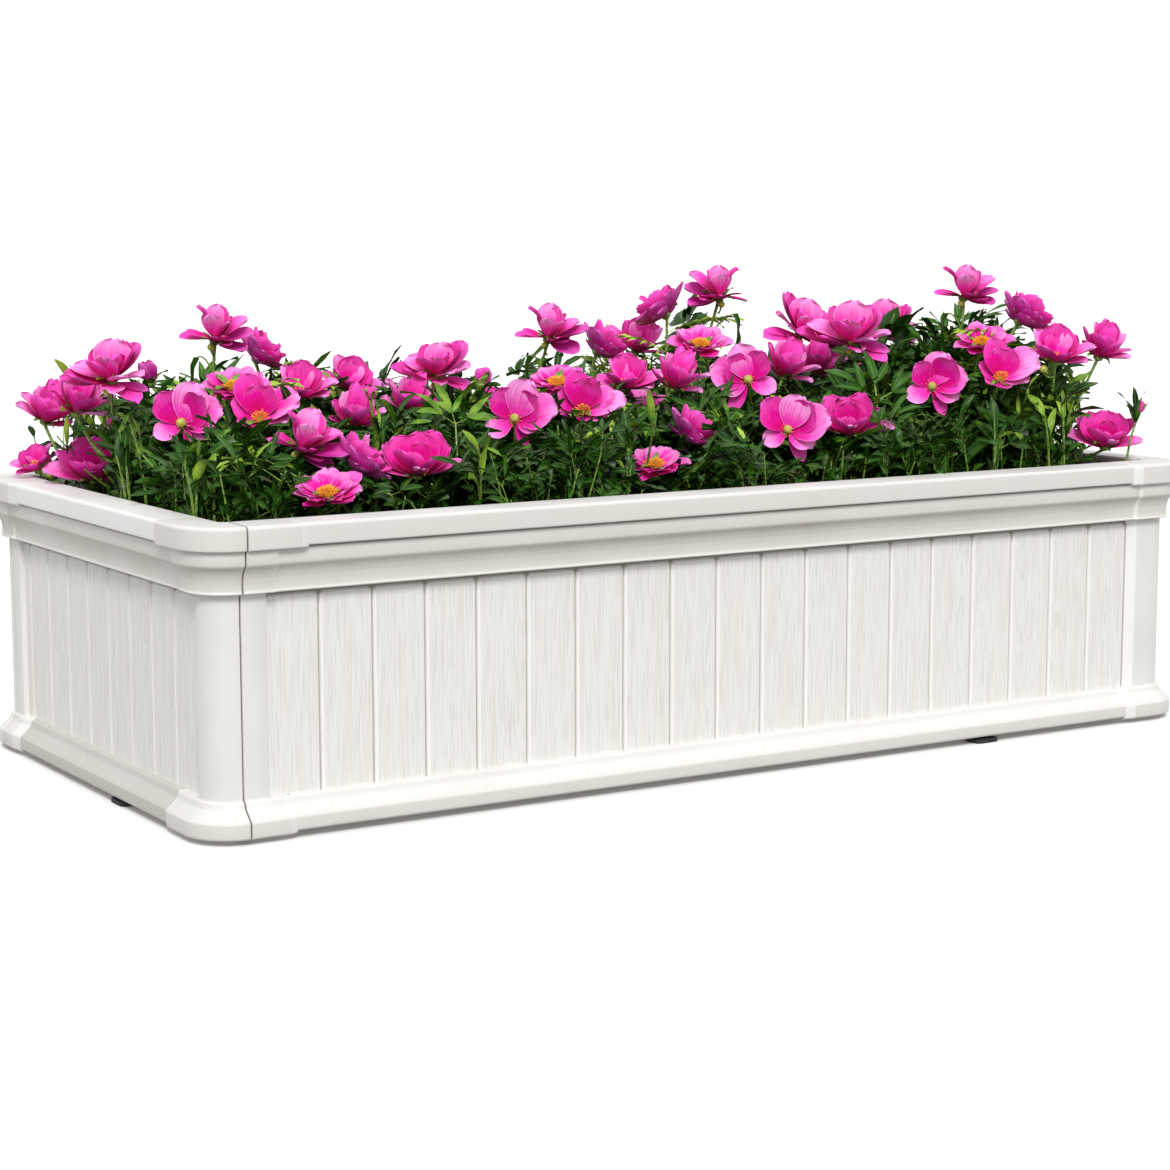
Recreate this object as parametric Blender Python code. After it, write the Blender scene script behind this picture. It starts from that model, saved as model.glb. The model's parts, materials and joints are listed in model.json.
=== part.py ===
"""Planted raised bed: a moulded white plastic box of boards, filled with soil and ten flowering peonies.

Metres, +Z up. The origin is on the ground under the middle of the box, +X runs along its long side and
the front faces -Y. Each wall is described in its own frame, as seen from outside: u runs from its left
end to its right end, o is the distance outside the plane of the boards, and z is the height above the
ground. Each wall's left end meets the corner post that stands at the right end of the wall before it.
"""

import math
import random

import bpy
import numpy as np
from mathutils import Matrix, Vector

# ---------------------------------------------------------------- driving dimensions
PITCH = 0.05715  # one moulded board with its groove
LONG_BOARDS = 19
SHORT_BOARDS = 8
FOOT_HEIGHT = 0.005
BASE_HEIGHT = 0.035
BOARD_HEIGHT = 0.1955
COVE_HEIGHT = 0.0445
RIM_HEIGHT = 0.0215
WALL_DEPTH = 0.0183  # from the boards to the inner face of a wall
SEAM = 0.0008  # the open joint between a corner and the wall beside it
FIT = 0.0003  # between faces that rest on each other
SOIL_DROP = 0.032  # from the top of the rim to the soil

# ---------------------------------------------------------------- worked out from them
STILE_START = 0.44 * PITCH  # where a wall's left end leaves the corner post
STILE_END = 0.92 * PITCH
SHORT_MARGIN = 0.29 * PITCH  # a plain strip between a short wall's end stile and its first board
LONG_POST_WIDTH = 1.04 * PITCH  # how far a corner post covers a wall's right end
SHORT_POST_WIDTH = 0.58 * PITCH
LONG = STILE_END + LONG_BOARDS * PITCH + LONG_POST_WIDTH
SHORT = STILE_END + SHORT_MARGIN + SHORT_BOARDS * PITCH + SHORT_POST_WIDTH
BASE_Z = FOOT_HEIGHT
BOARD_Z = BASE_Z + BASE_HEIGHT
COVE_Z = BOARD_Z + BOARD_HEIGHT
RIM_Z = COVE_Z + COVE_HEIGHT
TOP_Z = RIM_Z + RIM_HEIGHT
SOIL_Z = TOP_Z - SOIL_DROP
WALL_NAMES = ("front", "right", "back", "left")
CORNER_NAMES = ("front_right", "back_right", "back_left", "front_left")

# ---------------------------------------------------------------- wall details
PROUD = 0.0055  # how far stiles and posts stand in front of the boards
LONG_SHAFT_BEVEL = 0.0114
SHORT_SHAFT_BEVEL = 0.0079
GROOVE_WIDTH = 0.0036
GROOVE_DEPTH = 0.0024
TONGUE_LENGTH = 0.010
TONGUE_BACK = -0.0135
TONGUE_FRONT = -0.0075
BLOCK_SWELL = 0.0024  # how far the blocks at the rails' ends stand proud
ARC_STEPS = 5

# ---------------------------------------------------------------- sections, as (o, z) points
RIM_REACH = 0.024
COVE_REACH = 0.0188
BASE_REACH = 0.0200
BASE_SECTION = [
    (-WALL_DEPTH, BASE_Z),
    (BASE_REACH - 0.002, BASE_Z),
    (BASE_REACH, BASE_Z + 0.002),
    (BASE_REACH, BASE_Z + 0.0165),
    (BASE_REACH - 0.003, BASE_Z + 0.0190),
    (0.0080, BASE_Z + 0.0275),
    (0.0062, BASE_Z + 0.0335),
    (0.0040, BOARD_Z - FIT),
    (-WALL_DEPTH, BOARD_Z - FIT),
]
COVE_SECTION = [
    (-WALL_DEPTH, COVE_Z + FIT),
    (0.0095, COVE_Z + FIT),
    (0.0112, COVE_Z + 0.0018),
    (0.0100, COVE_Z + 0.0038),
    (0.0104, COVE_Z + 0.0130),
    (0.0126, COVE_Z + 0.0205),
    (0.0168, COVE_Z + 0.0262),
    (COVE_REACH, COVE_Z + 0.0290),
    (COVE_REACH, RIM_Z - FIT),
    (-WALL_DEPTH, RIM_Z - FIT),
]
RIM_SECTION = [
    (-WALL_DEPTH - 0.0008, RIM_Z),
    (RIM_REACH - 0.0006, RIM_Z),
    (RIM_REACH, RIM_Z + 0.0010),
    (RIM_REACH, TOP_Z - 0.0030),
    (RIM_REACH - 0.0025, TOP_Z - 0.0006),
    (-WALL_DEPTH + 0.0010, TOP_Z),
    (-WALL_DEPTH - 0.0008, TOP_Z - 0.0016),
]
SHAFT_INSET = 0.0004
SHAFT_SECTION = [
    (-WALL_DEPTH + SHAFT_INSET, BASE_Z + 0.002),
    (PROUD, BASE_Z + 0.002),
    (PROUD, RIM_Z + 0.002),
    (-WALL_DEPTH + SHAFT_INSET, RIM_Z + 0.002),
]
RAIL_SECTIONS = {"base": BASE_SECTION, "cove": COVE_SECTION, "rim": RIM_SECTION}

# The castings at a wall's ends grip its rails in blocks that stand a little proud and end in a bevel.
# Each value is how far a block reaches from the corner; "bevel" is how long the slope beyond it is.
LONG_LEFT_END = {"rim": 1.42 * PITCH, "cove": 1.00 * PITCH, "base": 1.17 * PITCH, "bevel": 0.13 * PITCH}
SHORT_LEFT_END = {"rim": 1.42 * PITCH, "cove": 0.95 * PITCH, "base": 0.98 * PITCH, "bevel": 0.40 * PITCH}
LONG_RIGHT_END = {"rim": 1.04 * PITCH, "cove": 0.95 * PITCH, "base": 1.01 * PITCH, "bevel": 0.25 * PITCH}
SHORT_RIGHT_END = {"rim": 1.23 * PITCH, "cove": 0.77 * PITCH, "base": 1.18 * PITCH, "bevel": 0.13 * PITCH}

# ---------------------------------------------------------------- feet
FOOT_LENGTH = 0.032
FOOT_WIDTH = 0.024
LONG_FOOT_U = 16.15 * PITCH
SHORT_FOOT_U = 6.13 * PITCH

# ---------------------------------------------------------------- planting
# Each plant is (x, y) of its crown in centimetres and its flowering stems. A stem is a list of blooms,
# and a bloom is (x, y, z of its middle in centimetres, kind). The kinds are in BLOOM_KINDS.
PLANTS = [
    ((-48, 11), [
        [(-57, 3, 43, "double"), (-57, 12, 39, "fan")],
        [(-53, 19, 32.5, "cup"), (-57, 22, 37.5, "fan"), (-58, 23, 33, "small")],
        [(-42, 11, 46.5, "double"), (-44, 2, 41, "gold"), (-46, 20, 41, "small")],
    ]),
    ((-48, -11), [
        [(-52, -3, 38, "open"), (-45, -7, 38.5, "gold"),
         (-44, -15, 36.5, "fan"), (-45, -22, 32, "gold")],
    ]),
    ((-25, 10), [
        [(-33, 20, 43, "back"), (-32, 11, 40, "double")],
        [(-23, 17, 40, "fan"), (-28, 5, 37, "double"), (-21, 6, 38, "fan"), (-17, 7, 42, "double")],
    ]),
    ((-25, -9), [
        [(-39, -16, 34, "back"), (-33, -18, 34, "cup")],
        [(-17, -10, 37.5, "open"), (-9, -11, 38, "gold")],
    ]),
    ((-2, 10), [
        [(-5, 3, 46, "double"), (-8, 13, 39.5, "back")],
        [(7, 12, 43, "back"), (6, 4, 40, "double"), (-1, 20, 35.5, "cup")],
    ]),
    ((-2, -10), [
        [(-8, -4, 40.5, "gold"), (5, -8, 40.5, "fan")],
        [(2, -14, 35, "back"), (-5, -19, 32.5, "gold")],
    ]),
    ((23, 11), [
        [(21, 7, 50, "double"), (19, 15, 47, "back"), (18, 20, 43, "fan"), (13, 12, 36, "cup")],
        [(34, 8, 45, "fan"), (31, 1, 41, "double"), (30, -7, 45, "double"), (30, 19, 38, "fan")],
    ]),
    ((22, -11), [
        [(13, -1, 44, "gold"), (14, -9, 40.5, "open"), (23, -4, 41, "fan")],
        [(13, -18, 35.5, "open"), (22, -17, 35.5, "cup")],
    ]),
    ((46, 10), [
        [(41, 1, 45.5, "double"), (43, 12, 41, "fan")],
    ]),
    ((46, -11), [
        [(46, -8, 50, "double"), (43, -15, 44, "gold"), (49, -14, 46.5, "back")],
        [(34, -17, 39.5, "open"), (40, -22, 40.5, "gold")],
        [(48, -22, 43, "double"), (57, -20, 43, "fan"), (57, -22, 34, "cup")],
    ]),
]
# A bloom's kind: its radius, its height, how far it leans, and which way, as a compass bearing from +Y.
BLOOM_KINDS = {
    "double": (0.039, 0.038, 14, 200),
    "open": (0.038, 0.026, 48, 210),
    "gold": (0.029, 0.022, 34, 205),
    "cup": (0.034, 0.040, 10, 205),
    "fan": (0.031, 0.034, 22, 150),
    "back": (0.030, 0.028, 52, 40),
    "small": (0.018, 0.024, 16, 260),
}
BLOOM_SIDES = 8
STEM_RADIUS = 0.0024
STEM_SIDES = 4
BEAD_HEIGHT = 0.006  # of the swollen foot of a stem
BRANCH_INTO_BLOOM = 0.004  # how far a branch runs up inside its bloom
CROWN_RADIUS = 0.014
CROWN_HEIGHT = 0.008
STEM_FOOT_REACH = 0.052  # from a plant's crown to the foot of each flowering stem
LEAVES_PER_PLANT = 8
LEAF_OUTLINE = (0.16, 0.24, 1.0, 0.72, 0.08)  # half-widths from stalk to tip, as shares
LEAF_THICKNESS = 0.0018
LEAF_CLEARANCE = 0.0012
LEAF_TRIES = 900
LEAF_FREE_FROM = 0.019  # leaves of one plant may touch only this near their crown
BED_MARGIN = 0.006  # between the leaves and the inner face of the rim


def clear_scene():
    """Removes every object that the scene starts with."""
    for thing in list(bpy.data.objects):
        bpy.data.objects.remove(thing, do_unlink=True)


def plastic_or_plant(name, colour, roughness):
    """A plain Principled material."""
    material = bpy.data.materials.new(name)
    material.use_nodes = True
    shader = material.node_tree.nodes["Principled BSDF"]
    shader.inputs["Base Color"].default_value = (*colour, 1.0)
    shader.inputs["Roughness"].default_value = roughness
    shader.inputs["Metallic"].default_value = 0.0
    material.diffuse_color = (*colour, 1.0)
    return material


def make_object(name, points, faces, materials):
    """An object from points and faces, linked to the scene, with its faces turned outwards."""
    mesh = bpy.data.meshes.new(name)
    mesh.from_pydata([tuple(p) for p in points], [], faces)
    for material in materials:
        mesh.materials.append(material)
    if signed_volume(mesh) < 0:
        mesh.flip_normals()
    mesh.update()
    thing = bpy.data.objects.new(name, mesh)
    bpy.context.scene.collection.objects.link(thing)
    return thing


def signed_volume(mesh):
    """Six times the volume inside a closed mesh, negative where its faces point inwards."""
    mesh.calc_loop_triangles()
    total = 0.0
    for triangle in mesh.loop_triangles:
        a, b, c = (mesh.vertices[i].co for i in triangle.vertices)
        total += a.dot(b.cross(c))
    return total


def loft(name, rings, materials):
    """A closed solid through rings of equal length, with a flat cap at each end."""
    count = len(rings[0])
    points = [point for ring in rings for point in ring]
    faces = []
    for step in range(len(rings) - 1):
        low = step * count
        high = low + count
        for i in range(count):
            after = (i + 1) % count
            faces.append((low + i, low + after, high + after, high + i))
    faces.append(tuple(reversed(range(count))))
    faces.append(tuple(range(len(points) - count, len(points))))
    return make_object(name, points, faces, materials)


# ---------------------------------------------------------------- the box
class Wall:
    """One side of the box, with the frame that its pieces are placed in."""

    def __init__(self, index):
        """index counts the walls anticlockwise from the front, seen from above."""
        angle = index * math.pi / 2
        self.index = index
        self.name = WALL_NAMES[index]
        self.is_long = index % 2 == 0
        self.length = LONG if self.is_long else SHORT
        self.boards = LONG_BOARDS if self.is_long else SHORT_BOARDS
        self.margin = 0 if self.is_long else SHORT_MARGIN
        self.post_width = LONG_POST_WIDTH if self.is_long else SHORT_POST_WIDTH
        self.shaft_bevel = LONG_SHAFT_BEVEL if self.is_long else SHORT_SHAFT_BEVEL
        self.left_end = LONG_LEFT_END if self.is_long else SHORT_LEFT_END
        self.right_end = LONG_RIGHT_END if self.is_long else SHORT_RIGHT_END
        self.run = Vector((round(math.cos(angle)), round(math.sin(angle)), 0))
        self.outward = Vector((round(math.sin(angle)), -round(math.cos(angle)), 0))
        depth = SHORT if self.is_long else LONG
        self.start = self.outward * depth / 2 - self.run * self.length / 2

    def point(self, u, o, z):
        """The world point at u along this wall, o outside its boards and z above the ground."""
        return self.start + self.run * u + self.outward * o + Vector((0, 0, z))

    def ring(self, u, section):
        """A section placed across this wall at u."""
        return [self.point(u, o, z) for o, z in section]


def swollen(section, amount):
    """A rail's section with everything outside the boards pushed out."""
    return [(o + amount, z) if o > 0 else (o, z) for o, z in section]


def make_rail(wall, rail, plastic):
    """The straight length of a rail between the castings at its wall's two ends."""
    start = wall.left_end[rail] + wall.left_end["bevel"] + FIT
    end = wall.length - wall.right_end[rail] - wall.right_end["bevel"] - FIT
    rings = [wall.ring(u, RAIL_SECTIONS[rail]) for u in (start, end)]
    return loft(f"{rail}_rail_{wall.name}", rings, [plastic])


def make_panel(wall, plastic):
    """A wall's upright boards, moulded in one, with a tongue at each end for the castings."""
    left = STILE_END + FIT
    right = wall.length - wall.post_width - FIT
    boards_start = STILE_END + wall.margin
    half = GROOVE_WIDTH / 2
    outline = [(left, -WALL_DEPTH), (left, TONGUE_BACK)]
    outline += [(left - TONGUE_LENGTH, TONGUE_BACK), (left - TONGUE_LENGTH, TONGUE_FRONT)]
    outline += [(left, TONGUE_FRONT), (left, -GROOVE_DEPTH), (left + half, 0)]
    for board in range(0 if wall.margin else 1, wall.boards):
        middle = boards_start + board * PITCH
        outline += [(middle - half, 0), (middle, -GROOVE_DEPTH), (middle + half, 0)]
    outline += [(right - half, 0), (right, -GROOVE_DEPTH), (right, TONGUE_FRONT)]
    outline += [(right + TONGUE_LENGTH, TONGUE_FRONT), (right + TONGUE_LENGTH, TONGUE_BACK)]
    outline += [(right, TONGUE_BACK), (right, -WALL_DEPTH)]
    low = [wall.point(u, o, BOARD_Z) for u, o in outline]
    high = [wall.point(u, o, COVE_Z) for u, o in outline]
    return loft(f"panel_{wall.name}", [low, high], [plastic])


def left_block_rings(wall, rail):
    """A left casting's straight block on a rail: its bevel, and on to the seam."""
    section = casting_section(rail)
    block = swollen(section, BLOCK_SWELL)
    reach = wall.left_end[rail]
    stations = ((reach + wall.left_end["bevel"], section), (reach, block), (STILE_START + SEAM, block))
    return [wall.ring(u, outline) for u, outline in stations]


def right_block_rings(wall, rail):
    """The start of a corner post's block on a rail: its bevel, and where it is at its full size."""
    section = casting_section(rail)
    reach = wall.right_end[rail]
    stations = ((reach + wall.right_end["bevel"], section), (reach, swollen(section, BLOCK_SWELL)))
    return [wall.ring(wall.length - u, outline) for u, outline in stations]


def casting_section(rail):
    """A rail's section on a casting, where the cove runs up into the rim to make one piece of them."""
    section = RAIL_SECTIONS[rail]
    if rail == "cove":
        return [(o, z + 0.0013) if z == RIM_Z - FIT else (o, z) for o, z in section]
    return section


def around_corner(wall, section):
    """A section carried round the corner, from the end of a wall to the seam on the next."""
    rings = []
    centre = wall.point(wall.length - STILE_START, -STILE_START, 0)
    for step in range(ARC_STEPS + 1):
        angle = step / ARC_STEPS * math.pi / 2
        way = wall.outward * math.cos(angle) + wall.run * math.sin(angle)
        rings.append([centre + way * (STILE_START + o) + Vector((0, 0, z)) for o, z in section])
    return rings


def pocket_cutter(name, wall, low_u, high_u):
    """A hidden block that cuts the pocket for a panel's tongue."""
    rings = []
    for u in (low_u, high_u):
        spots = (
            (TONGUE_BACK - FIT, BOARD_Z - FIT),
            (TONGUE_FRONT + FIT, BOARD_Z - FIT),
            (TONGUE_FRONT + FIT, COVE_Z + FIT),
            (TONGUE_BACK - FIT, COVE_Z + FIT),
        )
        rings.append([wall.point(u, o, z) for o, z in spots])
    cutter = loft(name, rings, [])
    cutter.hide_render = True
    cutter.display_type = "WIRE"
    return cutter


def cut(thing, cutter):
    """Adds a Boolean that takes cutter out of thing."""
    modifier = thing.modifiers.new(cutter.name, "BOOLEAN")
    modifier.operation = "DIFFERENCE"
    modifier.object = cutter


def make_corner_post(wall, plastic):
    """The rounded casting at a wall's right end: post, cove, rim and base in one, round to the seam."""
    name = f"corner_post_{CORNER_NAMES[wall.index]}"
    start = wall.length - wall.post_width
    flush = [(min(o, 0), z) for o, z in SHAFT_SECTION]
    shaft_rings = [wall.ring(start, flush), wall.ring(start + wall.shaft_bevel, SHAFT_SECTION)]
    shaft = loft(f"{name}_shaft", shaft_rings + around_corner(wall, SHAFT_SECTION), [plastic])
    helpers = []
    for rail in RAIL_SECTIONS:
        rings = right_block_rings(wall, rail)
        rings += around_corner(wall, swollen(casting_section(rail), BLOCK_SWELL))
        helpers.append(loft(f"{name}_{rail}", rings, [plastic]))
    post = union(name, shaft, helpers)
    depth = TONGUE_LENGTH + FIT
    cut(post, pocket_cutter(f"{name}_pocket", wall, start - depth, start + depth))
    return post


def make_end_stile(wall, plastic):
    """The flat casting at a wall's left end: stile, cove, rim and base in one."""
    name = f"end_stile_{wall.name}"
    shaft_rings = [wall.ring(u, SHAFT_SECTION) for u in (STILE_START + SEAM, STILE_END)]
    shaft = loft(f"{name}_shaft", shaft_rings, [plastic])
    helpers = []
    for rail in RAIL_SECTIONS:
        helpers.append(loft(f"{name}_{rail}", left_block_rings(wall, rail), [plastic]))
    stile = union(name, shaft, helpers)
    depth = TONGUE_LENGTH + FIT
    cut(stile, pocket_cutter(f"{name}_pocket", wall, STILE_END - depth, STILE_END + depth))
    return stile


def make_foot(wall, rubber):
    """A low pad under a base rail."""
    u = LONG_FOOT_U if wall.is_long else SHORT_FOOT_U
    inner = BASE_REACH - 0.0015 - FOOT_WIDTH
    rings = []
    for z, inset in ((0, 0.001), (0.001, 0), (FOOT_HEIGHT - FIT, 0)):
        ends = (u - FOOT_LENGTH / 2 + inset, u + FOOT_LENGTH / 2 - inset)
        sides = (inner + inset, inner + FOOT_WIDTH - inset)
        spots = ((ends[0], sides[0]), (ends[1], sides[0]), (ends[1], sides[1]), (ends[0], sides[1]))
        rings.append([wall.point(a, o, z) for a, o in spots])
    return loft(f"foot_pad_{wall.name}", rings, [rubber])


def make_soil(earth):
    """The soil that fills the box from the ground to just under its rim."""
    half_x = LONG / 2 - WALL_DEPTH - FIT
    half_y = SHORT / 2 - WALL_DEPTH - FIT
    fillet = STILE_START - WALL_DEPTH - FIT
    steps = 3
    rings = []
    for z in (0, SOIL_Z):
        ring = []
        for sign_x, sign_y, first in ((1, 1, 0), (-1, 1, 90), (-1, -1, 180), (1, -1, 270)):
            for step in range(steps + 1):
                angle = math.radians(first + 90 * step / steps)
                x = sign_x * (half_x - fillet) + fillet * math.cos(angle)
                y = sign_y * (half_y - fillet) + fillet * math.sin(angle)
                ring.append(Vector((x, y, z)))
        rings.append(ring)
    return loft("soil", rings, [earth])


# ---------------------------------------------------------------- the plants
def bearing(degrees):
    """The level unit vector at a compass bearing, clockwise from +Y."""
    angle = math.radians(degrees)
    return Vector((math.sin(angle), math.cos(angle), 0))


def bloom_turn(kind):
    """The rotation that leans an upright bloom the way its kind does."""
    _, _, lean, towards = BLOOM_KINDS[kind]
    axis = Vector((0, 0, 1)).cross(bearing(towards))
    return Matrix.Rotation(math.radians(lean), 4, axis)


def bloom_underside(bloom):
    """The point where a bloom meets its stalk, in metres."""
    x, y, z, kind = bloom
    height = BLOOM_KINDS[kind][1]
    return Vector((x, y, z)) / 100 + bloom_turn(kind) @ Vector((0, 0, -0.45 * height))


def bloom_solid(name, bloom, petal):
    """A hollow fluted cup of petals."""
    radius, height = BLOOM_KINDS[bloom[3]][:2]
    turn = bloom_turn(bloom[3])
    under = bloom_underside(bloom)
    rows = ((0.20, 0.00, 0), (0.76, 0.26, 0), (1.00, 0.94, 0.22), (0.34, 0.40, 0))
    rings = []
    for reach, rise, flute in rows:
        ring = []
        for i in range(BLOOM_SIDES):
            angle = i / BLOOM_SIDES * math.tau
            dip = flute * (i % 2)
            spot = Vector((math.cos(angle), math.sin(angle), 0)) * radius * reach * (1 - 0.6 * dip)
            spot.z = height * (rise - dip)
            ring.append(under + turn @ spot)
        rings.append(ring)
    return loft(name, rings, [petal])


def tube(name, path, radii, material):
    """A round tube with caps along a path of points."""
    rings = []
    for i, point in enumerate(path):
        way = (path[min(i + 1, len(path) - 1)] - path[max(i - 1, 0)]).normalized()
        side = way.cross(Vector((0.3, 0.2, 1)).normalized())
        side = side.normalized() if side.length > 0.05 else way.orthogonal().normalized()
        other = way.cross(side)
        ring = []
        for k in range(STEM_SIDES):
            angle = k / STEM_SIDES * math.tau
            ring.append(point + (side * math.cos(angle) + other * math.sin(angle)) * radii[i])
        rings.append(ring)
    return loft(name, rings, [material])


def curve_points(first, middle, last, steps):
    """Points on the quadratic curve from first to last that leaves towards middle."""
    points = []
    for step in range(steps + 1):
        t = step / steps
        points.append(first * (1 - t) ** 2 + middle * 2 * t * (1 - t) + last * t**2)
    return points


def stem_foot(crown, blooms):
    """Where a flowering stem leaves the soil: beside the crown, on the side of its blooms."""
    centre = sum((Vector((b[0], b[1])) for b in blooms), Vector((0, 0))) / len(blooms)
    away = centre / 100 - crown
    if away.length < 0.02:
        away = Vector((-1, 0))
    spot = crown + away.normalized() * STEM_FOOT_REACH
    return Vector((spot.x, spot.y, SOIL_Z + FIT))


def stem_paths(crown, blooms):
    """The main stalk of a flowering stem, and a branch from its fork to each bloom."""
    foot = stem_foot(crown, blooms)
    ends = [bloom_underside(b) for b in blooms]
    centre = sum(ends, Vector()) / len(ends)
    lowest = min(end.z for end in ends)
    fork = foot.lerp(centre, 0.45)
    fork.z = min(fork.z, foot.z + 0.62 * (lowest - foot.z))
    paths = [[foot, foot.lerp(fork, 0.5), fork]]
    for end, bloom in zip(ends, blooms):
        down = bloom_turn(bloom[3]) @ Vector((0, 0, -1))
        middle = fork.lerp(end, 0.5) + down * 0.2 * (end - fork).length
        paths.append(curve_points(fork, middle, end, 2))
    return paths


def union(name, first, helpers):
    """Joins helper solids into the first, and names the result. The helpers stay as hidden guides."""
    group = bpy.data.collections.new(f"{name}_helpers")
    bpy.context.scene.collection.children.link(group)
    for helper in helpers:
        bpy.context.scene.collection.objects.unlink(helper)
        group.objects.link(helper)
        helper.hide_render = True
        helper.display_type = "WIRE"
    modifier = first.modifiers.new("union", "BOOLEAN")
    modifier.operation = "UNION"
    modifier.operand_type = "COLLECTION"
    modifier.collection = group
    modifier.material_mode = "TRANSFER"
    first.name = name
    return first


def make_flowers(name, crown, blooms, stalk, petal):
    """One flowering stem: a forked stalk that carries its blooms."""
    main_path, *branches = stem_paths(crown, blooms)
    foot = main_path[0]
    bead_path = [foot, foot + Vector((0, 0, BEAD_HEIGHT))]
    bead = tube(f"{name}_foot", bead_path, [STEM_RADIUS * 1.8, STEM_RADIUS * 1.2], stalk)
    main_path[0] = foot.lerp(bead_path[1], 0.3)
    main_radii = [STEM_RADIUS, STEM_RADIUS, STEM_RADIUS * 0.95]
    helpers = [tube(f"{name}_stalk", main_path, main_radii, stalk)]
    for number, (path, bloom) in enumerate(zip(branches, blooms), 1):
        radii = [STEM_RADIUS * 0.9] * (len(path) - 1) + [STEM_RADIUS * 0.8]
        path[0] = path[0] - (path[1] - path[0]).normalized() * STEM_RADIUS
        path[-1] = path[-1] + bloom_turn(bloom[3]) @ Vector((0, 0, BRANCH_INTO_BLOOM))
        helpers.append(tube(f"{name}_branch_{number}", path, radii, stalk))
        helpers.append(bloom_solid(f"{name}_bloom_{number}", bloom, petal))
    bead.data.materials.append(petal)
    return union(name, bead, helpers)


def obstacles():
    """Balls that stand for every stalk and bloom, as an array of (x, y, z, radius)."""
    balls = []
    for crown, stems in PLANTS:
        for blooms in stems:
            for path in stem_paths(Vector(crown) / 100, blooms):
                for a, b in zip(path, path[1:]):
                    count = max(2, int((b - a).length / 0.004))
                    balls += [(*a.lerp(b, i / count), STEM_RADIUS * 1.9) for i in range(count + 1)]
            for x, y, z, kind in blooms:
                radius, height = BLOOM_KINDS[kind][:2]
                balls.append((x / 100, y / 100, z / 100, max(radius, height * 0.6)))
    return np.array(balls)


def leaf_rings(path, width):
    """A lance-shaped blade along a path: rings of four points, wide across and thin through."""
    rings = []
    for i, point in enumerate(path):
        way = (path[min(i + 1, len(path) - 1)] - path[max(i - 1, 0)]).normalized()
        across = way.cross(Vector((0, 0, 1))).normalized()
        through = way.cross(across)
        side = across * width / 2 * LEAF_OUTLINE[i]
        face = through * LEAF_THICKNESS / 2 * max(LEAF_OUTLINE[i], 0.6)
        rings.append([point + side, point + face, point - side, point - face])
    return rings


def spots_along(path, width, count):
    """Balls as wide as a leaf, spaced along its path, as an array of (x, y, z, radius)."""
    spots = []
    for step in range(len(path) - 1):
        for i in range(count + 1):
            share = i / count
            outline = LEAF_OUTLINE[step] * (1 - share) + LEAF_OUTLINE[step + 1] * share
            spots.append((*path[step].lerp(path[step + 1], share), outline * width / 2))
    return np.array(spots)


def is_clear(spots, others):
    """True where no ball of spots comes near a ball of others."""
    if not len(spots) or not len(others):
        return True
    apart = np.linalg.norm(spots[:, None, :3] - others[None, :, :3], axis=2)
    return bool((apart > others[None, :, 3] + spots[:, None, 3] + LEAF_CLEARANCE).all())


def is_inside_bed(spots):
    """True where a leaf stays inside the walls."""
    room = np.array([LONG / 2, SHORT / 2]) - WALL_DEPTH - BED_MARGIN
    return bool((np.abs(spots[:, :2]) + spots[:, 3:] < room).all())


def make_leaves(name, crown, balls, taken, green, chance):
    """Leaves that rise and bend over from one crown. It returns the clump and the balls it fills."""
    base = Vector((crown.x, crown.y, SOIL_Z + FIT))
    rings = []
    for reach, z in ((1.0, 0), (0.9, 0.55), (0.45, 1.0)):
        ring = []
        for i in range(8):
            angle = i / 8 * math.tau
            level = Vector((math.cos(angle), math.sin(angle), 0)) * CROWN_RADIUS * reach
            ring.append(base + level + Vector((0, 0, CROWN_HEIGHT * z)))
        rings.append(ring)
    crown_solid = loft(f"{name}_crown", rings, [green])
    helpers = []
    own = np.zeros((0, 4))
    for attempt in range(LEAF_TRIES):
        way = bearing(chance.uniform(0, 360))
        length = chance.uniform(0.075, 0.125)
        rise = chance.uniform(0.30, 0.95)
        width = chance.uniform(0.015, 0.021)
        start = base + way * CROWN_RADIUS * 0.4 + Vector((0, 0, CROWN_HEIGHT * 0.45))
        middle = start + way * length * 0.30 + Vector((0, 0, length * rise))
        end = start + way * length * 0.85 + Vector((0, 0, length * rise * chance.uniform(0.7, 1.05)))
        path = curve_points(start, middle, end, 4)
        spots = spots_along(path, width, 6)
        free_part = spots[np.linalg.norm(spots[:, :3] - np.array(base), axis=1) > LEAF_FREE_FROM]
        others = np.vstack([balls, taken])
        if is_inside_bed(spots) and is_clear(spots, others) and is_clear(free_part, own):
            helpers.append(loft(f"{name}_leaf_{len(helpers) + 1}", leaf_rings(path, width), [green]))
            own = np.vstack([own, free_part])
        if len(helpers) == LEAVES_PER_PLANT:
            break
    return union(name, crown_solid, helpers), own


def make_plants(green, stalk, petal):
    """Every peony: a clump of leaves, and flowering stems that leave the soil beside it."""
    chance = random.Random(4)
    balls = obstacles()
    taken = np.zeros((0, 4))
    for number, (place, stems) in enumerate(PLANTS, 1):
        crown = Vector(place) / 100
        for letter, blooms in zip("abc", stems):
            make_flowers(f"peony_{number:02d}_flowers_{letter}", crown, blooms, stalk, petal)
        _, filled = make_leaves(f"peony_{number:02d}_leaves", crown, balls, taken, green, chance)
        taken = np.vstack([taken, filled])


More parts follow.
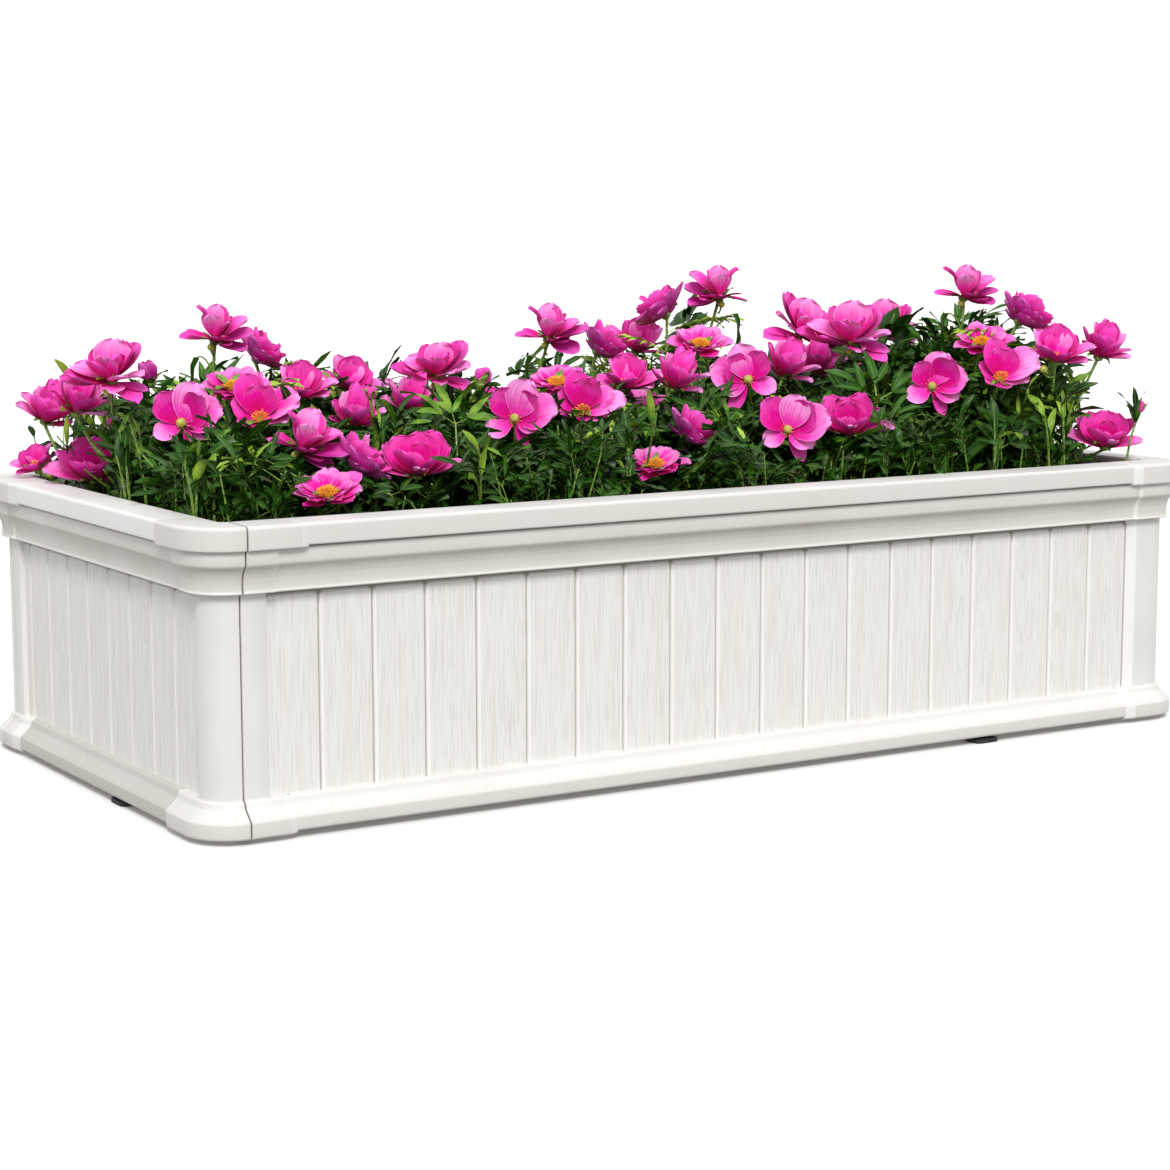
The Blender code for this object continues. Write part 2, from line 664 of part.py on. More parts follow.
def main():
    """Builds the whole bed."""
    clear_scene()
    plastic = plastic_or_plant("white moulded plastic", (0.80, 0.79, 0.76), 0.45)
    rubber = plastic_or_plant("black rubber", (0.02, 0.02, 0.02), 0.8)
    earth = plastic_or_plant("potting soil", (0.05, 0.03, 0.02), 0.95)
    green = plastic_or_plant("leaf", (0.06, 0.16, 0.03), 0.5)
    stalk = plastic_or_plant("stalk", (0.14, 0.26, 0.06), 0.5)
    petal = plastic_or_plant("petal", (0.75, 0.05, 0.40), 0.6)
    walls = [Wall(index) for index in range(4)]
    for wall in walls:
        make_panel(wall, plastic)
        for rail in RAIL_SECTIONS:
            make_rail(wall, rail, plastic)
        make_end_stile(wall, plastic)
        make_corner_post(wall, plastic)
        make_foot(wall, rubber)
    make_soil(earth)
    make_plants(green, stalk, petal)


main()
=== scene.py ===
"""Looks of the planted raised bed: moulded plastic walls, potting soil and ten flowering peonies.

Everything is in metres in the frame of the solids: the origin is on the ground under the middle of the
box, +X runs along its long side and the front faces -Y. Each wall is described in its own frame, as seen
from outside: u runs from its left end to its right end, o is the distance outside the plane of the
boards, and z is the height above the ground.
"""

from __future__ import annotations

import json
import logging
import random
from dataclasses import dataclass, field
from enum import Enum
from functools import partial
from math import copysign, cos, exp, floor, hypot, log, pi, radians, sin, sqrt, tau
from typing import Any, Callable, NamedTuple, Sequence

import bpy
import numpy as np
from mathutils import Matrix, Vector

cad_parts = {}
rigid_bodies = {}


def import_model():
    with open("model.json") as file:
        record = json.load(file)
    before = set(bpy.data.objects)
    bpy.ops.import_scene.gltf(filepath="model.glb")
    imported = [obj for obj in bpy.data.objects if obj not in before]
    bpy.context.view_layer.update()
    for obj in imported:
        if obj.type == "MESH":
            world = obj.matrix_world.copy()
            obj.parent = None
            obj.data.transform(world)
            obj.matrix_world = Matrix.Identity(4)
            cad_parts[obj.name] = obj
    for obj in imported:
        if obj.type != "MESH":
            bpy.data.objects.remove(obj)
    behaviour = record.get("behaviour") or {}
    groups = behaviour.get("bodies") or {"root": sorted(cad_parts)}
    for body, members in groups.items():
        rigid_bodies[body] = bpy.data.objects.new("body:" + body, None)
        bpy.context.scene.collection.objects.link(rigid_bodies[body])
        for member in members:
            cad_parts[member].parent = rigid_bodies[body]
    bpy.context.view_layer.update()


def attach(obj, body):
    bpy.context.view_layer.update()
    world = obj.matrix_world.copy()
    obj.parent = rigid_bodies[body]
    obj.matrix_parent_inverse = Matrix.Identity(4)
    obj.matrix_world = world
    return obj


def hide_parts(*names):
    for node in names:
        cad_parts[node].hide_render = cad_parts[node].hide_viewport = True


LOG = logging.getLogger("planted_bed")
MM = 0.001
ROOT = "root"
GOLDEN_TURN = 2.39996  # radians between one leaf and the next up a shoot
Section = list[tuple[float, float]]
Rings = list[list[Vector]]
Node, Piece, Material, Tree = bpy.types.Node, bpy.types.Object, bpy.types.Material, bpy.types.NodeTree


# ======== names shared by the whole file
class Slot(Enum):
    """The record's material slots."""

    PLASTIC = "white_plastic"
    RUBBER = "foot_rubber"
    SOIL = "soil"
    LEAF = "peony_leaf"
    FLOWER = "peony_flower"


class Side(Enum):
    """The four walls, anticlockwise from the front as seen from above."""

    FRONT, RIGHT, BACK, LEFT = range(4)

    @property
    def label(self) -> str:
        """The wall's name in the solids."""
        return self.name.lower()


class Rail(Enum):
    """The three mouldings that run round the box."""

    BASE = "base"
    COVE = "cove"
    RIM = "rim"


# ======== small helpers
def linear(hex_colour: str) -> tuple[float, float, float, float]:
    """Turns an sRGB hex colour into Blender's linear colour.

    Args:
        hex_colour: six hex digits, with or without a leading #.

    Returns:
        Linear red, green and blue, and an alpha of 1.
    """
    channels = [channel / 255 for channel in bytes.fromhex(hex_colour.lstrip("#"))]
    red, green, blue = (v / 12.92 if v <= 0.04045 else ((v + 0.055) / 1.055) ** 2.4 for v in channels)
    return red, green, blue, 1.0


def plug(node: Node, inputs: dict[Any, Any]) -> None:
    """Sets or links a node's inputs.

    Args:
        node: the node.
        inputs: by the input's name or number, a value, a socket, or a node whose first output is linked.
    """
    for key, value in inputs.items():
        if isinstance(value, Node):
            value = next(socket for socket in value.outputs if socket.enabled)
        if isinstance(value, bpy.types.NodeSocket):
            node.id_data.links.new(value, node.inputs[key])
        else:
            node.inputs[key].default_value = value


def add_node(
    tree: Tree,
    kind: str,
    inputs: dict[Any, Any] | None = None,
    stops: Sequence[tuple[float, str | float]] = (),
    **settings: Any,
) -> Node:
    """Adds a node with its settings, input values and links.

    Args:
        tree: the node tree that it joins.
        kind: the node's Blender type name, which may leave out "ShaderNode".
        inputs: what plug takes.
        stops: positions and hex colours or grey amounts, for a colour ramp.
        settings: the node's own properties.

    Returns:
        The new node.
    """
    node = tree.nodes.new(kind if "Node" in kind else f"ShaderNode{kind}")
    for name, value in settings.items():
        setattr(node, name, value)
    plug(node, inputs or {})
    for number, (position, colour) in enumerate(stops):
        elements = node.color_ramp.elements
        element = elements[number] if number < 2 else elements.new(position)
        element.position = position
        element.color = linear(colour) if isinstance(colour, str) else (colour, colour, colour, 1.0)
    return node


class Draft:
    """A mesh being drawn: points, faces, and what each carries."""

    def __init__(self) -> None:
        """Starts with nothing drawn."""
        self.points: list[np.ndarray] = []
        self.faces: list[tuple[int, ...]] = []
        self.uvs: list[tuple[float, float]] = []
        self.materials: list[int] = []
        self.count = 0

    def add(
        self, points: Any, faces: Sequence[tuple[int, ...]], uv: np.ndarray | None = None, material: int = 0
    ) -> None:
        """Adds a patch.

        Args:
            points: its points.
            faces: corner numbers within those points.
            uv: an array of (n, 2) map coordinates, or None for zeros.
            material: the material number of its faces.
        """
        self.points.append(np.asarray(points, float).reshape(-1, 3))
        for face in faces:
            self.faces.append(tuple(self.count + corner for corner in face))
            self.materials.append(material)
            self.uvs += [(0.0, 0.0) if uv is None else (uv[corner][0], uv[corner][1]) for corner in face]
        self.count += len(self.points[-1])

    def add_loft(self, rings: Sequence[Sequence[Vector]], material: int = 0) -> None:
        """Adds a closed solid through rings of equal length, capped at both ends.

        Args:
            rings: its sections, all wound the same way.
            material: the material number of its faces.
        """
        size, last = len(rings[0]), (len(rings) - 1) * len(rings[0])
        faces = [
            (low + i, low + (i + 1) % size, low + size + (i + 1) % size, low + size + i)
            for low in range(0, last, size)
            for i in range(size)
        ]
        faces += [tuple(reversed(range(size))), tuple(range(last, last + size))]
        points = np.array([point for ring in rings for point in ring], float)
        first, second = points[:size], points[size : 2 * size]
        facing = np.cross(first - first.mean(0), np.roll(first, -1, axis=0) - first.mean(0)).sum(0)
        if float(np.dot(facing, second.mean(0) - first.mean(0))) < 0:
            faces = [tuple(reversed(face)) for face in faces]
        self.add(points, faces, None, material)

    def add_sheet(
        self, grid: np.ndarray, uv: np.ndarray, material: int = 0, place: Matrix = Matrix()
    ) -> None:
        """Adds a sheet.

        Args:
            grid: a (rows, columns, 3) array of points.
            uv: a (rows, columns, 2) array of map coordinates.
            material: the material number of its faces.
            place: where it stands, and how it is turned.
        """
        rows, columns = grid.shape[:2]
        grid = grid @ np.array(place.to_3x3()).T + np.array(place.translation)
        corners = [row * columns + column for row in range(rows - 1) for column in range(columns - 1)]
        faces = [(corner, corner + 1, corner + columns + 1, corner + columns) for corner in corners]
        self.add(grid, faces, uv.reshape(-1, 2), material)

    def to_object(
        self,
        name: str,
        materials: Sequence[Material],
        smooth_under: float | None = None,
        linked: bool = True,
    ) -> Piece:
        """Makes the object.

        Args:
            name: the piece's name.
            materials: its material slots; with none, each face keeps its number as "finish".
            smooth_under: edges that turn less than this many degrees are smooth; None keeps them flat.
            linked: whether it joins the scene, or waits to be instanced.

        Returns:
            The new object, at the origin.
        """
        mesh = bpy.data.meshes.new(name)
        mesh.from_pydata(np.concatenate(self.points).tolist(), [], self.faces)
        for material in materials:
            mesh.materials.append(material)
        if materials:
            mesh.polygons.foreach_set("material_index", self.materials)
        else:
            mesh.attributes.new("finish", "INT", "FACE").data.foreach_set("value", self.materials)
        layer = mesh.uv_layers.new(name="UVMap")
        layer.data.foreach_set("uv", [value for pair in self.uvs for value in pair])
        if smooth_under is not None:
            mesh.polygons.foreach_set("use_smooth", [True] * len(self.faces))
            mesh.set_sharp_from_angle(angle=radians(smooth_under))
        mesh.update()
        thing = bpy.data.objects.new(name, mesh)
        if linked:
            bpy.context.scene.collection.objects.link(thing)
        return thing


def keep_numbers(piece: Piece, **numbers: Sequence[float]) -> None:
    """Stores one number for each point of a piece, under each name given."""
    for name, values in numbers.items():
        piece.data.attributes.new(name, "FLOAT", "POINT").data.foreach_set("value", values)


def run_tree(host: Piece, tree: Tree, values: dict[str, Any]) -> Piece:
    """Puts an object through a Geometry Nodes tree, and leaves it a plain mesh with no modifier.

    Args:
        host: the object.
        tree: the node tree.
        values: what its named inputs are set to.

    Returns:
        The same object.
    """
    modifier = host.modifiers.new(tree.name, "NODES")
    modifier.node_group = tree
    for item in tree.interface.items_tree:
        if item.in_out == "INPUT" and item.name in values:
            modifier[item.identifier] = values[item.name]
    bpy.context.view_layer.update()
    graph = bpy.context.evaluated_depsgraph_get()
    made = host.evaluated_get(graph)
    mesh = bpy.data.meshes.new_from_object(made, preserve_all_data_layers=True, depsgraph=graph)
    host.modifiers.clear()
    host.data = mesh
    return host


def new_tree(name: str, inputs: Sequence[tuple[str, str, Any]]) -> tuple[Any, Callable, Any, Any]:
    """Starts a Geometry Nodes tree with named inputs.

    Args:
        name: the tree's name.
        inputs: the name, socket type and default of each input after the geometry.

    Returns:
        The tree, add_node bound to it, its inputs' sockets and its group output node.
    """
    tree = bpy.data.node_groups.new(name, "GeometryNodeTree")
    for way in ("INPUT", "OUTPUT"):
        tree.interface.new_socket("Geometry", in_out=way, socket_type="NodeSocketGeometry")
    for label, kind, default in inputs:
        socket = tree.interface.new_socket(label, in_out="INPUT", socket_type=f"NodeSocket{kind}")
        if default is not None:
            socket.default_value = default
    add = partial(add_node, tree)
    return tree, add, add("NodeGroupInput").outputs, add("NodeGroupOutput")


def dress(piece: Piece, slot: Slot, *nodes: str) -> None:
    """Rides a finished piece on the body, and lets it stand for CAD nodes.

    Args:
        piece: the piece.
        slot: not used.
        nodes: the CAD nodes that it replaces.
    """
    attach(piece, ROOT)
    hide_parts(*nodes)
    piece.data.calc_loop_triangles()
    LOG.info("%s: %d triangles", piece.name, len(piece.data.loop_triangles))


def principled(name: str) -> tuple[Material, Callable, Node]:
    """Starts a material.

    Args:
        name: its name.

    Returns:
        The material, add_node bound to its node tree, and its Principled shader.
    """
    material = bpy.data.materials.new(name)
    material.use_nodes = True
    return material, partial(add_node, material.node_tree), material.node_tree.nodes["Principled BSDF"]


# ======== finishes
@dataclass(frozen=True)
class MouldedPlastic:
    """Rotationally moulded white polyethylene: satin, faintly mottled, with a fine pebble from the mould.

    The eye sees a warm white that stays even over a hand's width, and soft wide highlights. It is
    darkened by height: on the base by settled dust and painted shade, and in the hollow of the cove, under
    the rim and on the rim's face by painted shade. A point attribute marks edges that are painted near
    white as a highlight.
    """

    name: str = "moulded white polyethylene"
    colour: str = "#e2e1de"
    shade: str = "#dddbd7"
    dust: tuple[tuple[float, float], ...] = (  # heights in millimetres, and how much dust and painted shade darken it there
        (0, 0.75), (20, 0.50), (26, 0.05), (236, 0.02), (241, 0.80),
        (262, 1.00), (276, 0.40), (283, 0.50), (298, 0.45), (301, 0.0),
    )  # fmt: skip
    # The warm grey that settled dust and painted shade darken it towards.
    grime: str = "#bfb5a7"
    # The near white painted as a highlight on the castings' block ends and bevels.
    rubbed: str = "#fdfcfa"
    top: float = 301.5  # millimetres
    roughness: float = 0.46
    mottle: float = 90 * MM
    pebble: float = 0.9 * MM  # drawn a little coarser than the real 0.5 mm, so that it shows

    def build(self) -> Material:
        """Makes the material, on Object coordinates.

        Returns:
            The material.
        """
        material, add, shader = principled(self.name)
        place = add("TexCoord").outputs["Object"]
        cloud = {"Vector": place, "Scale": 1 / self.mottle, "Detail": 3.0, "Roughness": 0.55}
        mottle = add("TexNoise", cloud)
        tone = add("ValToRGB", {0: mottle}, ((0.32, self.shade), (0.62, self.colour)))
        height = add("SeparateXYZ", {0: place}).outputs[2]
        share = add("Math", {0: height, 1: self.top * MM}, operation="DIVIDE")
        # Darkened by height by settled dust and painted shade, then lightened where a highlight is painted.
        settled = add("ValToRGB", {0: share}, [(z / self.top, amount) for z, amount in self.dust])
        patchy = add("Math", {0: settled, 1: mottle}, operation="MULTIPLY")
        dust_and_shade_mix = add("Mix", {0: patchy, 6: tone, 7: linear(self.grime)}, data_type="RGBA")
        wear = add("Attribute", attribute_name="wear").outputs["Fac"]
        colour = add("Mix", {0: wear, 6: dust_and_shade_mix, 7: linear(self.rubbed)}, data_type="RGBA")
        pebble = add("TexNoise", {"Vector": place, "Scale": 1 / self.pebble, "Detail": 2.0, "Roughness": 0.6})
        low, high = self.roughness - 0.05, self.roughness + 0.06
        gloss = add("MapRange", {0: mottle, 1: 0.3, 2: 0.7, 3: low, 4: high})
        bump = add("Bump", {"Height": pebble, "Strength": 0.22, "Distance": 0.25 * MM})
        plug(shader, {"Base Color": colour, "Roughness": gloss, "Normal": bump, "IOR": 1.51})
        return material


@dataclass(frozen=True)
class GrainedPlastic:
    """The same polyethylene where the mould is cut as sawn boards.

    The ridges are in the mesh, and hold their height in the attribute "grain". Their low places are
    painted a faint warm grey as shade, with finer pores between them. Point attributes carry painted shade
    in the grooves and under the cove's lip, and a painted highlight on the boards' edges beside them.
    """

    name: str = "wood-grained white polyethylene"
    colour: str = "#e7e6e2"
    low: str = "#d6d3cd"
    warm: str = "#e1ddd4"
    settled: str = "#8f877c"  # the dark warm grey painted as shade in the grooves and under the cove's lip
    rubbed: str = "#fdfcfa"  # the near white painted as a highlight on the boards' edges beside the grooves
    roughness: float = 0.5
    pore: tuple[float, float, float] = (1.1 * MM, 1.1 * MM, 34 * MM)
    streak: tuple[float, float, float] = (9 * MM, 9 * MM, 220 * MM)

    def build(self) -> Material:
        """Makes the material, on Object coordinates and the grain attribute.

        Returns:
            The material.
        """
        material, add, shader = principled(self.name)
        place = add("TexCoord").outputs["Object"]
        grain, dust, wear = (
            add("Attribute", attribute_name=name).outputs["Fac"] for name in ("grain", "dust", "wear")
        )
        pores, warmth = (
            add("TexNoise", {
                "Vector": add("Mapping", {0: place, 3: tuple(1 / length for length in size)}),
                "Scale": 1.0, "Detail": detail, "Roughness": rough,
            })
            for size, detail, rough in ((self.pore, 2.5, 0.6), (self.streak, 2.0, 0.5))
        )  # fmt: skip
        # The grain's low places are painted darker as shade.
        blended = add("Mix", {0: 0.6, 2: grain, 3: pores})
        colour = add("ValToRGB", {0: blended}, ((0.34, self.low), (0.54, self.colour)))
        warm_share = add("MapRange", {0: warmth, 1: 0.48, 2: 0.75, 3: 0.0, 4: 0.7})
        # Warm streaks at random, then painted shade in the grooves and under the lip, then a painted
        # highlight.
        for share, tone in ((warm_share, self.warm), (dust, self.settled), (wear, self.rubbed)):
            colour = add("Mix", {0: share, 6: colour, 7: linear(tone)}, data_type="RGBA")
        high, low = self.roughness + 0.06, self.roughness - 0.06
        gloss = add("MapRange", {0: pores, 1: 0.3, 2: 0.7, 3: high, 4: low})
        bump = add("Bump", {"Height": pores, "Strength": 0.5, "Distance": 0.35 * MM})
        plug(shader, {"Base Color": colour, "Roughness": gloss, "Normal": bump, "IOR": 1.51})
        return material


@dataclass(frozen=True)
class Mottled:
    """A matt or fleshy surface of two tones in small clouds, with a bump of the same size.

    It serves the rubber pads, the dark sheet of painted shade in the seams, and the plants' stalks,
    calyces and pollen. With a crumb size it is potting soil: the bump is then of crumbs, and it gives the
    eye no shine.
    """

    name: str
    colour: str
    other: str
    roughness: float = 0.5
    cell: float = 3 * MM
    shares: tuple[float, float] = (0.35, 0.68)
    detail: float = 3.0
    bump: tuple[float, float] = (0.3, 0.3 * MM)
    ior: float = 1.42
    crumb: float = 0.0

    def build(self) -> Material:
        """Makes the material, on Object coordinates.

        Returns:
            The material.
        """
        material, add, shader = principled(self.name)
        place = add("TexCoord").outputs["Object"]
        cloud = add("TexNoise", {"Vector": place, "Scale": 1 / self.cell, "Detail": self.detail})
        tone = add("ValToRGB", {0: cloud}, tuple(zip(self.shares, (self.colour, self.other))))
        relief = cloud
        if self.crumb:
            relief = add("TexVoronoi", {"Vector": place, "Scale": 1 / self.crumb, "Randomness": 1.0})
        strength, depth = self.bump
        bump = add("Bump", {"Height": relief, "Strength": strength, "Distance": depth})
        plug(shader, {"Base Color": tone, "Normal": bump, "Roughness": self.roughness, "IOR": self.ior})
        return material


@dataclass(frozen=True)
class PetalSkin:
    """Fresh peony petal: velvety and slightly translucent, deep magenta at its foot and pale at its lip.

    Map coordinates run across (u) and along (v) the petal, and the attribute "tint" differs from petal
    to petal. Thin veins fan out along it, about 1.5 mm apart.
    """

    name: str = "fresh peony petal"
    foot: str = "#cc0068"
    middle: str = "#e00c98"
    lip: str = "#fc5fcc"
    vein: str = "#b00074"
    roughness: float = 0.7
    veins_across: float = 16.0

    def build(self) -> Material:
        """Makes the material, on the petal's own map.

        Returns:
            The material.
        """
        material, add, shader = principled(self.name)
        chart = add("UVMap", uv_map="UVMap").outputs[0]
        place = add("TexCoord").outputs["Object"]
        across, along, _ = add("SeparateXYZ", {0: chart}).outputs
        tint = add("Attribute", attribute_name="tint").outputs["Fac"]
        cloud = add("TexNoise", {"Vector": place, "Scale": 1 / (11 * MM), "Detail": 2.0})
        lift = add("Math", {0: cloud, 1: 0.5, 2: -0.25}, operation="MULTIPLY_ADD")
        shift = add("Math", {0: tint, 1: 0.46, 2: -0.23}, operation="MULTIPLY_ADD")
        clouded = add("Math", {0: along, 1: lift}, operation="ADD")
        toned = add("Math", {0: clouded, 1: shift}, operation="ADD")
        blush = add("ValToRGB", {0: toned}, ((0.05, self.foot), (0.45, self.middle), (0.98, self.lip)))
        aside = add("Math", {0: across, 1: 0.5}, operation="SUBTRACT")
        aside = add("Math", {0: aside, 1: 2.0}, operation="MULTIPLY")
        aside = add("Math", {0: aside}, operation="ABSOLUTE")
        outer = add("Math", {0: aside, 1: along}, operation="MAXIMUM")
        edge = {0: outer, 1: 0.84, 2: 1.0, 3: 0.0, 4: 0.5}
        border = add("MapRange", edge, interpolation_type="SMOOTHSTEP")
        edged = add("Mix", {0: border, 6: blush, 7: linear(self.lip)}, data_type="RGBA")
        fan = add("Mapping", {0: chart, 3: (self.veins_across, 1.3, 1.0)})
        grown = {"Vector": fan, "W": tint, "Scale": 1.0, "Detail": 2.0, "Roughness": 0.6}
        lines = add("TexNoise", grown, noise_dimensions="4D")
        veined = add("MapRange", {0: lines, 1: 0.50, 2: 0.68, 3: 0.0, 4: 0.7})
        fade = add("MapRange", {0: along, 1: 0.35, 2: 1.0, 3: 1.0, 4: 0.25})
        strength = add("Math", {0: veined, 1: fade}, operation="MULTIPLY")
        colour = add("Mix", {0: strength, 6: edged, 7: linear(self.vein)}, data_type="RGBA")
        bump = add("Bump", {"Height": lines, "Strength": 0.6, "Distance": 0.8 * MM})
        plug(shader, {"Base Color": colour, "Normal": bump, "Roughness": self.roughness, "IOR": 1.4})
        plug(shader, {"Specular IOR Level": 0.14, "Sheen Weight": 0.06, "Sheen Roughness": 0.5})
        return material


@dataclass(frozen=True)
class LeafSkin:
    """Peony leaf: a waxy dark green with a paler midrib. It gives the eye long soft glints."""

    name: str = "waxy peony leaf"
    dark: str = "#0e2e04"
    middle: str = "#2f6010"
    light: str = "#98bc3c"
    rib: str = "#94b556"
    roughness: float = 0.4

    def build(self) -> Material:
        """Makes the material, on the leaf's own map and its tint.

        Returns:
            The material.
        """
        material, add, shader = principled(self.name)
        chart = add("UVMap", uv_map="UVMap").outputs[0]
        place = add("TexCoord").outputs["Object"]
        across = add("SeparateXYZ", {0: chart}).outputs[0]
        tint = add("Attribute", attribute_name="tint").outputs["Fac"]
        cloud = add("TexNoise", {"Vector": place, "Scale": 1 / (14 * MM), "Detail": 3.0})
        mixed = add("Math", {0: cloud, 1: 0.5, 2: tint}, operation="MULTIPLY_ADD")
        tone = add("ValToRGB", {0: mixed}, ((0.22, self.dark), (0.72, self.middle), (1.25, self.light)))
        offset = add("Math", {0: across, 1: 0.5}, operation="SUBTRACT")
        distance = add("Math", {0: offset}, operation="ABSOLUTE")
        rib = add("MapRange", {0: distance, 1: 0.02, 2: 0.08, 3: 0.38, 4: 0.0})
        colour = add("Mix", {0: rib, 6: tone, 7: linear(self.rib)}, data_type="RGBA")
        veins = add("Mapping", {0: chart, 2: (0.0, 0.0, 0.5), 3: (3.0, 22.0, 1.0)})
        lines = add("TexNoise", {"Vector": veins, "Scale": 1.0, "Detail": 1.0})
        bump = add("Bump", {"Height": lines, "Strength": 0.35, "Distance": 0.4 * MM})
        plug(shader, {"Base Color": colour, "Normal": bump, "Roughness": self.roughness, "IOR": 1.42})
        plug(shader, {"Specular IOR Level": 0.3})
        return material


class Palette:
    """Every finish, made once."""

    def __init__(self) -> None:
        """Builds the materials."""
        clean = ((0, 0.0), (300, 0.0))
        self.plastic = MouldedPlastic().build()
        # The left wall's base takes a darker copy of the plastic as painted shade, and its rim a brighter,
        # undarkened copy as painted light.
        self.dulled = MouldedPlastic("dulled white polyethylene", "#c6c4bf", "#bfbcb6").build()
        self.washed = MouldedPlastic("rain-washed white polyethylene", "#eeedeb", "#e9e8e5", clean).build()
        # The dark sheet at the bottom of each seam is painted shade.
        self.seam = Mottled("dust in the seams", "#4a4038", "#6d6157", 0.8).build()
        self.boards = GrainedPlastic().build()
        # Moulded black nitrile rubber: matte, greyed by dust.
        self.rubber = Mottled(
            "moulded black rubber", "#17171a", "#3b3835", 0.82, 4 * MM, (0.4, 0.75), 4.0, (0.4, 0.2 * MM),
            1.52,
        ).build()  # fmt: skip
        # Moist peat compost: near black, crumbly, with paler fibres.
        self.soil = Mottled(
            "moist potting soil", "#1b120c", "#4a3524", 0.95, 18 * MM, (0.38, 0.7), 6.0, (0.8, 1.5 * MM), 1.5,
            3.5 * MM,
        ).build()  # fmt: skip
        self.petal = PetalSkin().build()
        self.pale_petal = PetalSkin("pale peony petal", "#d80480", "#f03cb8", "#ffa4e8", "#c00480").build()
        violet = ("#a8087a", "#d422a4", "#f070d2", "#a00a7a")
        self.violet_petal = PetalSkin("violet outside of a peony petal", *violet).build()
        self.leaf = LeafSkin().build()
        self.young_leaf = LeafSkin("young peony leaf", "#47701a", "#7ba52a", "#b4d24c", "#c4dc70").build()
        self.stalk = Mottled("green peony stalk", "#4a6c22", "#8fb04c", 0.45).build()
        self.calyx = Mottled("peony calyx and seed head", "#9aa539", "#d8d270", 0.4).build()
        self.pollen = Mottled("peony pollen heads", "#f59a14", "#ffc83c", 0.75, 1.5 * MM).build()


# ======== the box
@dataclass(frozen=True)
class Plan:
    """The box's sizes, in metres, as in the solids."""

    pitch: float = 0.05715
    long_boards: int = 19
    short_boards: int = 8
    base_z: float = 0.005
    board_z: float = 0.040
    cove_z: float = 0.2355
    rim_z: float = 0.280
    top_z: float = 0.3015
    soil_z: float = 0.2695
    wall_depth: float = 0.0183
    seam: float = 0.0008
    fit: float = 0.0003
    proud: float = 0.0055
    swell: float = 0.0024
    stile_start: float = 0.44 * 0.05715
    stile_end: float = 0.92 * 0.05715
    short_margin: float = 0.29 * 0.05715
    long_post: float = 1.04 * 0.05715
    short_post: float = 0.58 * 0.05715
    groove_width: float = 0.0048
    groove_depth: float = 0.0028

    @property
    def long_side(self) -> float:
        """The length of a long wall between the corners of its boards' plane."""
        return self.stile_end + self.long_boards * self.pitch + self.long_post

    @property
    def short_side(self) -> float:
        """The length of a short wall between the corners of its boards' plane."""
        return self.stile_end + self.short_margin + self.short_boards * self.pitch + self.short_post

    def section(self, rail: Rail, casting: bool = False) -> Section:
        """A moulding's section.

        Args:
            rail: which moulding.
            casting: whether it is on a casting, which reaches a little lower than the rail beside it.

        Returns:
            Its (o, z) corners, in order round the section.
        """
        back, low = -self.wall_depth, self.base_z
        if rail is Rail.BASE:
            drop = 0.0 if casting else 0.0024
            top = self.board_z - self.fit
            return [
                (back, low + drop), (0.0180, low + drop), (0.0200, low + drop + 0.0020),
                (0.0200, low + 0.0165), (0.0170, low + 0.0190), (0.0080, low + 0.0275),
                (0.0062, low + 0.0335), (0.0040, top), (back, top),
            ]  # fmt: skip
        if rail is Rail.COVE:
            low, top = self.cove_z, self.rim_z - self.fit
            hollow = (
                (0.0118, 0.0016), (0.0104, 0.0034), (0.0100, 0.0090), (0.0106, 0.0150), (0.0122, 0.0200),
                (0.0146, 0.0240), (0.0174, 0.0266), (0.0188, 0.0286),
            )  # fmt: skip
            under, lip = low + self.fit, self.rim_z - 0.0019
            inner = [(back, under), (0.0100, under), *((o, low + z) for o, z in hollow)]
            return [*inner, (0.0188, lip), (0.0150, lip), (0.0146, top), (back, top)]
        low, top = self.rim_z, self.top_z
        under = low - (0.0020 if casting else 0.0)
        return [
            (back - 0.0008, low), (0.0192, low), (0.0196, under), (0.0232, under), (0.0240, under + 0.0010),
            (0.0240, top - 0.0030), (0.0215, top - 0.0006), (back + 0.0010, top),
            (back - 0.0008, top - 0.0016),
        ]  # fmt: skip


@dataclass(frozen=True)
class EndBlock:
    """How far a casting's blocks reach along the three mouldings, in boards, and its bevel beyond them."""

    rim: float
    cove: float
    base: float
    bevel: float

    def reach(self, rail: Rail, plan: Plan) -> tuple[float, float]:
        """The block's reach on a moulding and the length of its bevel, in metres."""
        bevel = self.bevel * plan.pitch
        return getattr(self, rail.value) * plan.pitch, min(bevel, 4.5 * MM) if rail is Rail.COVE else bevel


LONG_ENDS = EndBlock(1.42, 1.00, 1.17, 0.13), EndBlock(1.04, 0.95, 1.01, 0.25)  # the left and right ends
SHORT_ENDS = EndBlock(1.42, 0.95, 0.98, 0.40), EndBlock(1.23, 0.77, 1.18, 0.13)


def rounded(section: Section, radius: float, steps: int = 4) -> Section:
    """Rounds the corners of a closed section.

    Args:
        section: its corners.
        radius: how far from each corner the curve starts, cut down where an edge is short.
        steps: how many chords make each curve.

    Returns:
        The points of the rounded section.
    """
    points = []
    for number, corner in enumerate(section):
        here = Vector(corner)
        ways = [Vector(other) - here for other in (section[number - 1], section[(number + 1) % len(section)])]
        first, last = (here + way.normalized() * min(radius, way.length * 0.45) for way in ways)
        points += [(spot.x, spot.y) for spot in curve(first, here, last, steps)]
    return points


def swollen(section: Section, amount: float) -> Section:
    """A moulding's section with everything outside the boards pushed out."""
    return [(o + amount, z) if o > 0 else (o, z) for o, z in section]


def curve(first: Vector, middle: Vector, last: Vector, steps: int) -> list[Vector]:
    """Points on the quadratic curve from first to last that leaves towards middle."""
    shares = [step / steps for step in range(steps + 1)]
    return [first * (1 - t) ** 2 + middle * 2 * t * (1 - t) + last * t**2 for t in shares]


